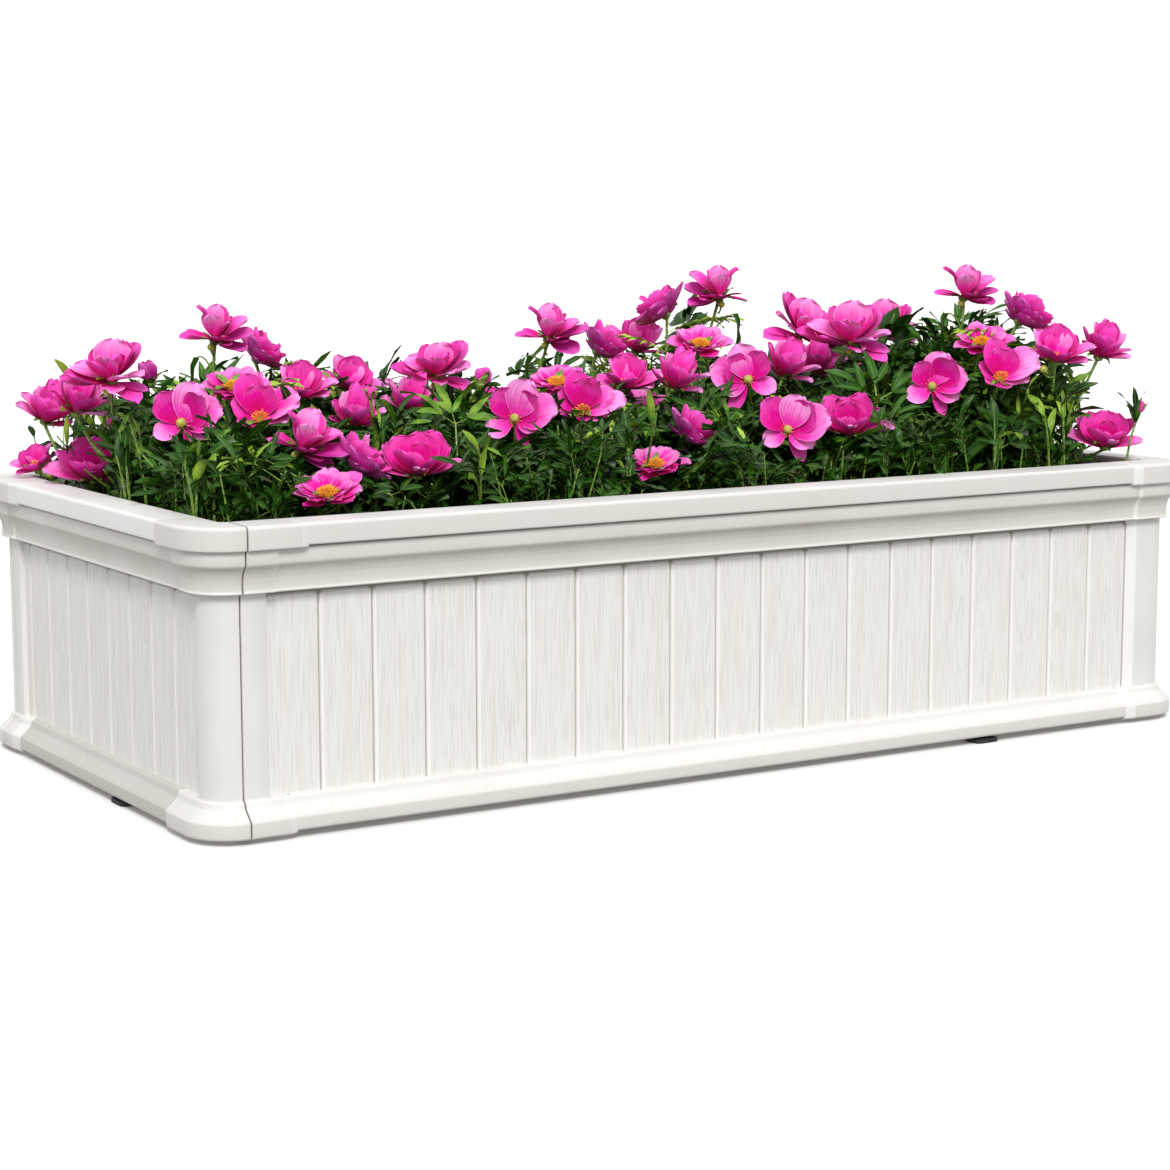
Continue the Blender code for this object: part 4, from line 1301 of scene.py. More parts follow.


# Petals that lie in shadow have low tints, so their darkness is partly painted shade and partly their own
# deeper colour.
HABITS: dict[Habit, tuple[tuple[Any, ...], ...]] = {
    WIDE: (
        ("round_in", -90, 84, 1.42, 0.95, 4, 0.35), ("round_in", -60, 72, 1.2, 1.0, 2, 0.15),
        ("round_out", -112, 66, 1.15, 1.0, 4, 0.55), ("round_in", -140, 38, 1.0, 1.0, 5, 0.5),
        ("round_out", 178, 8, 1.0, 1.05, 6, 0.62), ("round_in", 150, 26, 0.95, 0.9, 6, 0.4),
        ("back", 125, 46, 1.25, 1.0, 6, 0.8), ("frill_2", 105, 34, 1.2, 0.9, 8, 0.05),
        ("round_out", 75, 62, 1.0, 0.9, 4, 0.92), ("round_out", 40, 60, 0.85, 0.85, 3, 1.0),
        ("tongue", 58, 100, 0.95, 1.25, 2, 0.75), ("back", 88, 100, 1.0, 0.8, 1, 0.5),
        ("round_out", 18, 86, 0.68, 0.85, 1, 0.5), ("frill_1", -20, 20, 0.8, 0.9, 6, 0.4),
        ("frill_2", 60, 15, 0.85, 0.9, 6, 0.5), ("round_in", -42, 44, 0.9, 0.9, 5, 0.4),
    ),
    PLUME: (
        ("tongue", -92, 86, 0.8, 1.05, 4, 0.55), ("tongue", -68, 70, 0.7, 1.2, 4, 0.35),
        ("curl", -85, 22, 1.05, 1.0, 5, 0.5), ("round_out", 170, 6, 0.94, 0.85, 6, 0.75),
        ("frill_1", -150, 14, 0.9, 0.85, 6, 0.6), ("frill_2", 140, 18, 0.95, 0.85, 6, 0.55),
        ("round_in", 100, 30, 0.9, 0.85, 5, 0.5), ("frill_1", 0, 12, 0.82, 0.85, 6, 0.6),
        ("round_in", 12, 66, 0.7, 0.9, 3, 0.0), ("back", 85, 72, 1.15, 1.05, 4, 0.4),
        ("round_out", 112, 52, 1.0, 0.9, 5, 0.2), ("back", 60, 96, 1.0, 1.0, 2, 0.25),
        ("round_in", 40, 80, 0.85, 0.7, 3, 0.1), ("frill_1", 60, 30, 0.85, 0.8, 5, 0.3),
    ),
    SPREAD: (
        ("round_in", -142, 48, 1.0, 0.92, 2, 0.42), ("round_out", 158, 50, 1.06, 1.0, 3, 0.95),
        ("round_out", -64, 80, 0.76, 0.9, 2, 0.7), ("round_out", 64, 78, 0.84, 1.0, 2, 0.7),
        ("tongue", 30, 100, 0.82, 0.8, 1, 0.75), ("round_out", 100, 60, 1.2, 1.0, 1, 0.35),
        ("round_in", 128, 40, 1.1, 0.95, 1, 0.3), ("round_in", -178, 66, 0.9, 0.9, 0, 0.2),
    ),
    BOWL: (
        ("round_in", 180, 20, 1.22, 1.0, 2, 0.3), ("round_in", -140, 32, 1.22, 1.0, 2, 0.45),
        ("round_in", 142, 34, 1.22, 1.0, 2, 0.25), ("round_in", -106, 50, 1.22, 0.95, 2, 0.4),
        ("round_in", 108, 50, 1.24, 0.95, 2, 0.3), ("round_out", -80, 66, 1.22, 0.85, 1, 0.45),
        ("round_out", 80, 66, 1.24, 0.85, 1, 0.4), ("round_in", -45, 42, 0.98, 0.85, 2, 0.1),
        ("round_in", 45, 42, 0.98, 0.85, 2, 0.05), ("round_in", -10, 26, 0.78, 0.8, 3, 0.5),
        ("round_out", 14, 46, 0.7, 0.75, 2, 1.0), ("round_in", 160, 8, 0.9, 0.8, 4, 0.0),
    ),
    DISC: (
        *(("ring_1" if k % 2 else "ring_2", -70 + 28 * k, 64, 0.8, 1.1, 2.5, 0.55) for k in range(6)),
        *(("ring_2" if k % 2 else "ring_1", 96 + 22 * k, 58, 1.05, 1.15, 2.5, 0.45) for k in range(9)),
        ("round_out", 84, 74, 0.95, 0.8, 1, 0.15), ("round_in", 50, 76, 0.8, 0.8, 1, 0.2),
        ("round_out", -80, 72, 0.85, 0.8, 1, 0.35), ("frill_1", 180, 62, 0.86, 0.8, 1, 0.3),
        ("back", 130, 72, 0.95, 0.85, 1, 0.6), ("round_in", -30, 84, 0.72, 0.8, 0, 0.25),
    ),
    SIDE: (
        ("tongue", -160, 30, 1.05, 1.2, 3, 0.3), ("round_in", -112, 50, 0.86, 0.85, 3, 0.6),
        ("round_in", -50, 60, 0.7, 0.85, 2, 0.6), ("round_in", 5, 62, 0.7, 0.8, 2, 0.65),
        ("round_out", 58, 66, 0.9, 0.85, 3, 0.85), ("round_out", 88, 62, 1.2, 0.95, 4, 0.95),
        ("round_in", 180, 30, 0.92, 0.9, 4, 0.45), ("round_in", 140, 35, 0.95, 0.9, 4, 0.5),
        ("round_out", 112, 60, 1.12, 0.9, 2, 0.3),
    ),
    DOME: (
        *(("back", 20 + 51 * k, 62, 1.02, 0.9, 2, 0.2 + 0.25 * (k % 3)) for k in range(7)),
        *(("round_in", 50 + 60 * k, 40, 0.95, 0.8, 3, 0.15 + 0.15 * (k % 3)) for k in range(6)),
        ("back", 10, 82, 0.95, 0.8, 1, 0.3), ("back", -150, 80, 0.9, 0.8, 1, 0.5),
        ("frill_2", 100, 10, 0.95, 0.9, 4, 0.3), ("frill_1", -80, 12, 0.9, 0.9, 4, 0.35),
    ),
    FLARE: (
        ("round_out", -118, 30, 1.05, 0.9, 3, 0.55), ("round_in", 180, 12, 1.08, 1.0, 4, 0.6),
        ("round_in", 130, 40, 1.02, 0.95, 3, 0.4), ("round_out", 92, 62, 1.16, 0.9, 3, 0.5),
        ("round_in", -62, 46, 0.92, 0.9, 3, 0.35), ("round_in", 18, 50, 0.8, 0.9, 2, 0.1),
        ("round_out", 60, 70, 0.9, 0.9, 2, 0.3), ("frill_1", 152, 20, 0.92, 0.9, 5, 0.7),
        ("frill_2", -150, 20, 0.92, 0.9, 5, 0.6), ("round_out", -88, 66, 0.9, 0.85, 1, 0.3),
    ),
    RUFFLE: (
        ("round_in", -95, 42, 1.0, 0.9, 2, 0.2), ("round_in", -40, 34, 0.88, 0.9, 2, 0.0),
        ("frill_1", -122, 22, 1.08, 0.9, 4, 0.55), ("frill_2", 180, 8, 1.08, 0.85, 5, 0.65),
        ("frill_1", 130, 18, 1.02, 0.85, 4, 0.6), ("round_in", 42, 36, 0.9, 0.9, 3, 0.3),
        ("round_out", 86, 48, 1.02, 0.85, 3, 0.75), ("curl", 150, 6, 1.1, 1.3, 6, 0.7),
        ("curl", -160, 12, 1.1, 1.3, 6, 0.6), ("round_in", 0, 22, 0.82, 0.85, 4, 0.45),
        ("round_out", 66, 66, 0.86, 0.8, 2, 0.9), ("round_in", -70, 62, 0.88, 0.85, 1, 0.05),
    ),
    BUDDING: (
        *(("back", 12 + 72 * k, 14, 0.74, 0.8, 1, 0.2 + 0.1 * k) for k in range(5)),
        *(("round_in", 50 + 90 * k, 6, 0.66, 0.7, 2, 0.2) for k in range(4)),
    ),
}  # fmt: skip
FACING = 212.0  # the compass bearing that most blooms look towards
UP = Vector((0, 0, 1))
# Beside the blooms, in centimetres, by the plant's number: tall shoots of broad leaves, and single buds.
BROAD_LEAVES = {7: ((25, 21, 41), (38, -3, 41))}
LONE_BUDS = {10: ((58, -25.5, 35.6),), 1: ((-56, 6, 36.5),), 4: ((-30, -2, 39),)}


@dataclass(frozen=True)
class Stance:
    """A kind of bloom's radius and height, how far it leans, and towards which bearing from +Y."""

    radius: float
    height: float
    lean: float
    towards: float

    def turn(self) -> Matrix:
        """The rotation that leans an upright bloom."""
        return Matrix.Rotation(radians(self.lean), 4, UP.cross(bearing(self.towards)))


STANCES = {
    Bloom.DOUBLE: Stance(0.039, 0.038, 14, 200),
    Bloom.OPEN: Stance(0.038, 0.026, 48, 210),
    Bloom.GOLD: Stance(0.029, 0.022, 34, 205),
    Bloom.CUP: Stance(0.034, 0.040, 10, 205),
    Bloom.FAN: Stance(0.031, 0.034, 22, 150),
    Bloom.BACK: Stance(0.030, 0.028, 52, 40),
    Bloom.SMALL: Stance(0.018, 0.024, 16, 260),
}


def bearing(degrees: float) -> Vector:
    """The level unit vector at a compass bearing, clockwise from +Y."""
    angle = radians(degrees)
    return Vector((sin(angle), cos(angle), 0))


def standing(place: Vector, spin: float, pitch: float = 0.0) -> Matrix:
    """The frame of a part at a place, lifted by pitch and then turned by spin, both in radians."""
    return Matrix.Translation(place) @ (Matrix.Rotation(spin, 4, "Z") @ Matrix.Rotation(pitch, 4, "X"))


def underside(spot: Spot) -> Vector:
    """The point where a bloom meets its stalk, in metres."""
    stance = STANCES[spot.kind]
    return spot.centre + stance.turn() @ Vector((0, 0, -0.45 * stance.height))


def tube_rings(path: Sequence[Vector], radii: Sequence[float], sides: int) -> Rings:
    """Rings of a round tube along a path.

    Args:
        path: its points.
        radii: its radius at each.
        sides: how many points each ring has.

    Returns:
        The rings, turned as little as possible from one to the next.
    """
    rings = []
    side = None
    angles = [k / sides * tau for k in range(sides)]
    for number, (point, radius) in enumerate(zip(path, radii)):
        way = (path[min(number + 1, len(path) - 1)] - path[max(number - 1, 0)]).normalized()
        side = (way.orthogonal() if side is None else side - way * side.dot(way)).normalized()
        other = way.cross(side)
        rings.append([point + (side * cos(a) + other * sin(a)) * radius for a in angles])
    return rings


# ======== what grows again and again
class Finish(Enum):
    """Which finish a face takes in a planted piece; the value is its number in the mesh."""

    PETAL, PALE_PETAL, LEAF, YOUNG_LEAF, STALK, CALYX, POLLEN, VIOLET_PETAL = range(8)


@dataclass(frozen=True)
class PetalShape:
    """One petal that stands on its foot and faces -Y: a broad tongue, cupped across and bent along."""

    length: float
    width: float
    widest: float  # how far up it is broadest, as a share
    tip: float  # how much the sides close in at the lip
    start: float  # degrees that its foot leans out, and its lip
    end: float
    cup: float
    ruffle: float = 0.05
    notch: float = 0.05
    seed: int = 1
    finish: Finish = Finish.PETAL
    columns: int = 6
    rows: int = 8
    foot: float = 0.20

    def draw(self, draft: Draft, place: Matrix) -> None:
        """Adds the petal to a draft.

        Args:
            draft: the mesh it joins.
            place: where it stands.
        """
        chance = random.Random(self.seed)
        phase, second = chance.uniform(0, tau), chance.uniform(0, tau)
        fine = 40  # chords of its middle line
        pace = self.length / fine
        centre = [(0.0, 0.0, radians(self.start))]
        for step in range(fine):
            angle = radians(self.start + (self.end - self.start) * ((step + 0.5) / fine) ** 1.2)
            y, z, _ = centre[-1]
            centre.append((y + pace * sin(angle), z + pace * cos(angle), angle))
        table = np.array(centre)
        marks = np.linspace(0, 1, fine + 1)
        grid = np.zeros((self.rows + 1, self.columns + 1, 3))
        chart = np.zeros((self.rows + 1, self.columns + 1, 2))
        for r in range(self.rows + 1):
            for c in range(self.columns + 1):
                v = 1 - (1 - r / self.rows) ** 1.6
                u = 2 * c / self.columns - 1
                if v <= self.widest:
                    share = self.foot + (1 - self.foot) * sin(pi / 2 * v / self.widest) ** 0.9
                else:
                    share = sqrt(1 - (self.tip * (v - self.widest) / (1 - self.widest)) ** 2)
                reach = v * (1 - 0.05 * u * u * v - self.notch * exp(-((u / 0.25) ** 2)) * v**6)
                reach *= 1 + 0.035 * sin(8 * u + phase) * v**5
                y, z, angle = (float(np.interp(reach, marks, table[:, k])) for k in range(3))
                half = self.width / 2 * share
                wave = sin(phase + 3.4 * u + 2.6 * v) * abs(u) + 0.5 * sin(second + 7.5 * u)
                inward = self.cup * half * u * u + self.ruffle * self.length * v * v * wave
                across = half * u * (1 - 0.22 * self.cup * u * u)
                grid[r, c] = (across, y - inward * cos(angle), z + inward * sin(angle))
                chart[r, c] = (c / self.columns, v)
        draft.add_sheet(grid, chart, self.finish.value, place)


@dataclass(frozen=True)
class LeafShape:
    """One leaflet that grows along +Y with its face up: a lance blade, folded along its rib."""

    length: float
    width: float
    start: float  # degrees above level at its foot, and how far it has dropped at its tip
    droop: float
    seed: int
    fold: float = 0.35
    wave: float = 0.06
    rows: int = 6
    finish: Finish = Finish.LEAF
    widest: float = 0.42

    def draw(self, draft: Draft, place: Matrix) -> None:
        """Adds the leaflet to a draft.

        Args:
            draft: the mesh it joins.
            place: where it grows.
        """
        phase = random.Random(self.seed).uniform(0, tau)
        power = log(0.5) / log(self.widest)
        grid = np.zeros((self.rows + 1, 3, 3))
        chart = np.zeros((self.rows + 1, 3, 2))
        y = z = 0.0
        for r in range(self.rows + 1):
            v = r / self.rows
            angle = radians(self.start - self.droop * v)
            if r:
                middle = radians(self.start - self.droop * (v - 0.5 / self.rows))
                y += self.length / self.rows * cos(middle)
                z += self.length / self.rows * sin(middle)
            half = self.width / 2 * max(sin(pi * v**power) ** 0.85, 0.03)
            for c, u in enumerate((-1, 0, 1)):
                wave = self.wave * self.length * u * sin(phase + 5 * v)
                rise = (self.fold * half * abs(u) + wave) if u else 0.0
                grid[r, c] = (half * u, y - rise * sin(angle), z + rise * cos(angle))
                chart[r, c] = (c / 2, v)
        draft.add_sheet(grid, chart, self.finish.value, place)


@dataclass(frozen=True)
class EggShape:
    """A closed egg that stands on its foot."""

    radius: float
    height: float
    sides: int
    rows: int  # how many rings it has between its poles
    finish: Finish
    point: float  # from 0 for a round end to 1 for a pointed one

    def draw(self, draft: Draft, place: Matrix) -> None:
        """Adds the egg to a draft.

        Args:
            draft: the mesh it joins.
            place: where it stands.
        """
        ways = [Vector((cos(k / self.sides * tau), sin(k / self.sides * tau), 0)) for k in range(self.sides)]
        rings = []
        for row in range(self.rows + 2):
            share = row / (self.rows + 1)
            reach = self.radius * sin(pi * min(max(share, 0.03), 0.97)) * (1 - self.point * share * 0.7)
            z = self.height * (0.5 - 0.5 * cos(pi * share))
            rings.append([place @ (way * reach + UP * z) for way in ways])
        draft.add_loft(rings, self.finish.value)


# Length, width, widest, tip, start, end, cup, ruffle, notch, seed, and the finish and columns if not common.
SHAPES: dict[str, PetalShape | LeafShape | EggShape] = {
    "round_in": PetalShape(0.036, 0.036, 0.60, 0.97, 18, -20, 0.24, 0.045, 0.05, 3),
    "round_out": PetalShape(0.036, 0.035, 0.60, 0.97, 2, 14, 0.16, 0.05, 0.05, 7, Finish.PALE_PETAL),
    "back": PetalShape(0.035, 0.031, 0.62, 0.96, 14, -16, 0.28, 0.05, 0.06, 5, Finish.VIOLET_PETAL),
    "tongue": PetalShape(0.039, 0.023, 0.62, 0.97, 2, 12, 0.22, 0.03, 0.0, 8, Finish.PETAL, 4),
    "curl": PetalShape(0.036, 0.014, 0.55, 0.97, -12, 34, 0.4, 0.05, 0.0, 9, Finish.PETAL, 4),
    "frill_1": PetalShape(0.033, 0.031, 0.66, 0.95, 8, 10, 0.22, 0.07, 0.10, 14, Finish.PALE_PETAL),
    "frill_2": PetalShape(0.033, 0.030, 0.66, 0.95, 16, -18, 0.30, 0.07, 0.07, 15),
    "ring_1": PetalShape(0.026, 0.0175, 0.66, 0.97, 26, -20, 0.32, 0.03, 0.02, 12, Finish.PALE_PETAL, 4, 6),
    "ring_2": PetalShape(0.025, 0.0165, 0.66, 0.97, 20, 0, 0.3, 0.04, 0.05, 13, Finish.PETAL, 4, 6),
    "leaf_lance_1": LeafShape(0.060, 0.0088, 18, 52, 21),
    "leaf_lance_2": LeafShape(0.054, 0.0074, 8, 78, 22, wave=0.08),
    "leaf_lance_3": LeafShape(0.046, 0.0098, 24, 44, 23, fold=0.2),
    "leaf_hanging": LeafShape(0.056, 0.0125, -4, 30, 24, fold=0.5),
    "leaf_round": LeafShape(0.026, 0.0150, 22, 40, 25, fold=0.15, widest=0.55, rows=4),
    "leaf_young": LeafShape(0.044, 0.0060, 34, 50, 26, finish=Finish.YOUNG_LEAF),
    "sepal": LeafShape(0.020, 0.0085, 62, 60, 61, fold=0.3, rows=4, finish=Finish.STALK),
    "ovary": EggShape(0.0078, 0.0150, 10, 7, Finish.CALYX, 0.0),
    "receptacle": EggShape(0.0062, 0.0070, 8, 4, Finish.STALK, 0.0),
    "bud_pink": EggShape(0.0064, 0.0150, 10, 7, Finish.PETAL, 0.2),
}
LANCES = ("leaf_lance_1", "leaf_lance_2", "leaf_lance_3")
WHOLE_LEAVES = ("leaf_whole_1", "leaf_whole_2", "leaf_whole_3")


@dataclass
class PartStore:
    """The few shapes that a peony repeats: petals, leaves, stamens, seed heads, sepals and buds."""

    names: list[str] = field(default_factory=list)

    def __post_init__(self) -> None:
        """Draws every shape into one collection of its own."""
        self.group = bpy.data.collections.new("peony parts")
        bpy.context.scene.collection.children.link(self.group)
        for name, shape in SHAPES.items():
            draft = Draft()
            shape.draw(draft, Matrix())
            self.keep(name, draft)
        for seed, name in enumerate(WHOLE_LEAVES, 41):
            self.keep(name, self.whole_leaf(seed))
        self.keep("leaf_broad", self.whole_leaf(44, 2.9))
        self.keep("leaf_feather", self.feather_leaf(51))
        self.keep("stamen", self.stamen())
        self.names.sort()

    def keep(self, name: str, draft: Draft) -> None:
        """Keeps a drawn shape under its name."""
        self.group.objects.link(draft.to_object(name, [], 60, linked=False))
        self.names.append(name)

    def clear(self) -> None:
        """Removes the stored shapes from the scene."""
        for thing in list(self.group.objects):
            bpy.data.objects.remove(thing, do_unlink=True)
        bpy.data.collections.remove(self.group)

    def stamen(self) -> Draft:
        """Draws a stamen.

        Returns:
            A thread with a pollen head, standing on its foot.
        """
        draft = Draft()
        path = [Vector((0, 0, 0)), Vector((0, 0.0006, 0.0045)), Vector((0, 0.0018, 0.0085))]
        draft.add_loft(tube_rings(path, [0.00024, 0.0002, 0.0002], 3), Finish.POLLEN.value)
        head = [Vector((0, 0.0012, 0.0080)), Vector((0, 0.0017, 0.0094)), Vector((0, 0.0026, 0.0112))]
        draft.add_loft(tube_rings(head, [0.0004, 0.00085, 0.0004], 4), Finish.POLLEN.value)
        return draft

    def whole_leaf(self, seed: int, broad: float = 1.0) -> Draft:
        """A whole peony leaf: a stalk that parts in three, each arm with three narrow leaflets.

        Args:
            seed: what makes it differ.
            broad: how broad its leaflets are, against a common leaf's.

        Returns:
            The draft.
        """
        chance = random.Random(seed)
        draft = Draft()
        reach = chance.uniform(0.026, 0.036)
        path = curve(Vector(), Vector((0, reach * 0.5, reach * 0.4)), Vector((0, reach, reach * 0.75)), 3)
        draft.add_loft(tube_rings(path, [0.0011, 0.0010, 0.0009, 0.0007], 3), Finish.STALK.value)
        for arm in (-62, 0, 62):
            way = Matrix.Rotation(radians(-arm + chance.uniform(-8, 8)), 4, "Z")
            end = path[-1] + way @ Vector((0, 0.016, 0.004))
            draft.add_loft(tube_rings([path[-1], end], [0.0007, 0.0005], 3), Finish.STALK.value)
            for angle in (-40, 0, 40):
                blade = LeafShape(
                    length=chance.uniform(0.034, 0.050) * (1.12 if angle == 0 else 0.85),
                    width=chance.uniform(0.0066, 0.0100) * broad,
                    start=chance.uniform(5, 45),
                    droop=chance.uniform(10, 65),
                    fold=chance.uniform(0.2, 0.5),
                    wave=chance.uniform(0.02, 0.07),
                    seed=chance.randint(0, 9999),
                    rows=4,
                )
                turn = way @ Matrix.Rotation(radians(-angle + chance.uniform(-9, 9)), 4, "Z")
                turn = turn @ Matrix.Rotation(chance.uniform(-0.35, 0.35), 4, "Y")
                blade.draw(draft, Matrix.Translation(end) @ turn)
        return draft

    def feather_leaf(self, seed: int) -> Draft:
        """A young leaf split into many thin bright lobes.

        Args:
            seed: what makes it differ.

        Returns:
            The draft.
        """
        chance = random.Random(seed)
        draft = Draft()
        path = curve(Vector(), Vector((0, 0.03, 0.035)), Vector((0, 0.07, 0.045)), 6)
        draft.add_loft(tube_rings(path, [0.0009] * 7, 3), Finish.YOUNG_LEAF.value)
        for number, place in enumerate(path[1:], 1):
            for side in (-1, 1):
                blade = LeafShape(
                    length=chance.uniform(0.028, 0.046),
                    width=chance.uniform(0.0055, 0.0085),
                    start=chance.uniform(0, 40),
                    droop=chance.uniform(20, 60),
                    seed=chance.randint(0, 9999),
                    rows=3,
                    finish=Finish.YOUNG_LEAF,
                )
                spin = radians(-side * (62 - 7 * number) + chance.uniform(-8, 8))
                blade.draw(draft, standing(place, spin))
        return draft


class GrowthTree:
    """The tree that sets repeated parts on a piece's marked points, and dresses what comes of it."""

    def __init__(self, store: PartStore, palette: Palette) -> None:
        """Keeps what the tree draws on, and makes it.

        Args:
            store: the parts.
            palette: the finishes.
        """
        self.store = store
        self.finishes = {finish: getattr(palette, finish.name.lower()) for finish in Finish}
        self.tree = self.build()

    def build(self) -> Tree:
        """Makes the tree.

        Returns:
            A Geometry Nodes tree with the jitter of turn and size, and the seed, as inputs.
        """
        inputs = (
            ("Parts", "Collection", None), ("Turn Jitter", "Float", 0.06), ("Size Jitter", "Float", 0.08),
            ("Seed", "Int", 1),
        )  # fmt: skip
        tree, add, held, end = new_tree("grow parts on points", inputs)
        kinds = {
            "part": "BOOLEAN", "turn": "FLOAT_VECTOR", "size": "FLOAT_VECTOR", "kind": "INT", "finish": "INT",
        }  # fmt: skip
        marked = {
            name: add("GeometryNodeInputNamedAttribute", {0: name}, data_type=kind)
            for name, kind in kinds.items()
        }
        chosen = {"Geometry": held["Geometry"], "Selection": marked["part"]}
        split = add("GeometryNodeSeparateGeometry", chosen, domain="POINT")
        points = add("GeometryNodeMeshToPoints", {"Mesh": split})
        lowest = add("Math", {0: held["Turn Jitter"], 1: -1.0}, operation="MULTIPLY")
        limits = {0: lowest, 1: held["Turn Jitter"], "Seed": held["Seed"]}
        jitter = add("FunctionNodeRandomValue", limits, data_type="FLOAT_VECTOR")
        turn = add("VectorMath", {0: marked["turn"], 1: jitter}, operation="ADD")
        smallest, largest = (
            add("Math", {0: 1.0, 1: held["Size Jitter"]}, operation=sum_) for sum_ in ("SUBTRACT", "ADD")
        )
        limits = {2: smallest, 3: largest, "Seed": held["Seed"]}
        growth = add("FunctionNodeRandomValue", limits, data_type="FLOAT")
        size = add("VectorMath", {0: marked["size"], 3: growth}, operation="SCALE")
        whole = {"Collection": held["Parts"], "Separate Children": True, "Reset Children": True}
        parts = add("GeometryNodeCollectionInfo", whole)
        grown = add(
            "GeometryNodeInstanceOnPoints",
            {"Points": points, "Instance": parts, "Pick Instance": True, "Instance Index": marked["kind"],
             "Rotation": turn, "Scale": size},
        )  # fmt: skip
        joined = add("GeometryNodeJoinGeometry", {0: split.outputs[1]})
        plug(joined, {0: grown})
        last = add("GeometryNodeRealizeInstances", {"Geometry": joined})
        for finish, material in self.finishes.items():
            same = {2: marked["finish"], 3: finish.value}
            same = add("FunctionNodeCompare", same, data_type="INT", operation="EQUAL")
            last = add("GeometryNodeSetMaterial", {"Geometry": last, "Selection": same, "Material": material})
        plug(end, {0: last})
        return tree


class Growth:
    """A planted piece in the making: its stalks, and the marked points where parts will grow."""

    def __init__(self, growth_tree: GrowthTree, seed: int) -> None:
        """Starts with nothing planted.

        Args:
            growth_tree: the tree that grows its parts.
            seed: what makes its jitter differ.
        """
        self.tree = growth_tree
        self.seed = seed
        self.draft = Draft()
        self.marks: list[tuple[float, ...]] = []  # each one's place, turn, size, kind and tint

    def add(self, name: str, place: Matrix, size: float | Vector = 1.0, tint: float = 0.5) -> None:
        """Marks a point.

        Args:
            name: the shape that grows there.
            place: where it stands and how it is turned.
            size: its scale, or its scale along each of its own axes.
            tint: its shade, from 0 for the darkest to 1 for the palest.
        """
        sizes = (size, size, size) if isinstance(size, float) else size
        kind = self.tree.store.names.index(name)
        self.marks.append((*place.translation, *place.to_euler(), *sizes, kind, tint))

    def stalk(self, path: Sequence[Vector], radii: Sequence[float], sides: int = 6) -> None:
        """Adds a stalk along a path."""
        self.draft.add_loft(tube_rings(path, radii, sides), Finish.STALK.value)

    def finish(self, name: str, turn_jitter: float = 0.06, size_jitter: float = 0.08) -> Piece:
        """Grows the parts and makes the piece a plain mesh.

        Args:
            name: the piece's name.
            turn_jitter: how far each part may turn at random, in radians.
            size_jitter: how much its size may vary, as a share.

        Returns:
            The finished piece.
        """
        own, marked = self.draft.count, len(self.marks)
        piece = self.draft.to_object(name, [], 60)
        mesh = piece.data
        mesh.vertices.add(marked)
        table = np.array([(*[0.0] * 6, 1.0, 1.0, 1.0, 0.0, 0.5)] * own + self.marks)
        table[:own, :3] = np.concatenate(self.draft.points)
        mesh.vertices.foreach_set("co", table[:, :3].flatten())
        stored = (
            ("part", "BOOLEAN", "value", np.arange(own + marked) >= own),
            ("turn", "FLOAT_VECTOR", "vector", table[:, 3:6].flatten()),
            ("size", "FLOAT_VECTOR", "vector", table[:, 6:9].flatten()),
            ("kind", "INT", "value", table[:, 9].astype(int)),
            ("tint", "FLOAT", "value", table[:, 10]),
        )
        for label, kind, slot, values in stored:
            mesh.attributes.new(label, kind, "POINT").data.foreach_set(slot, values.tolist())
        jitters = {"Turn Jitter": turn_jitter, "Size Jitter": size_jitter, "Seed": self.seed}
        run_tree(piece, self.tree.tree, {"Parts": self.tree.store.group, **jitters})
        for label in ("part", "turn", "size", "kind", "finish"):
            held = piece.data.attributes.get(label)
            if held is not None:
                piece.data.attributes.remove(held)
        return piece


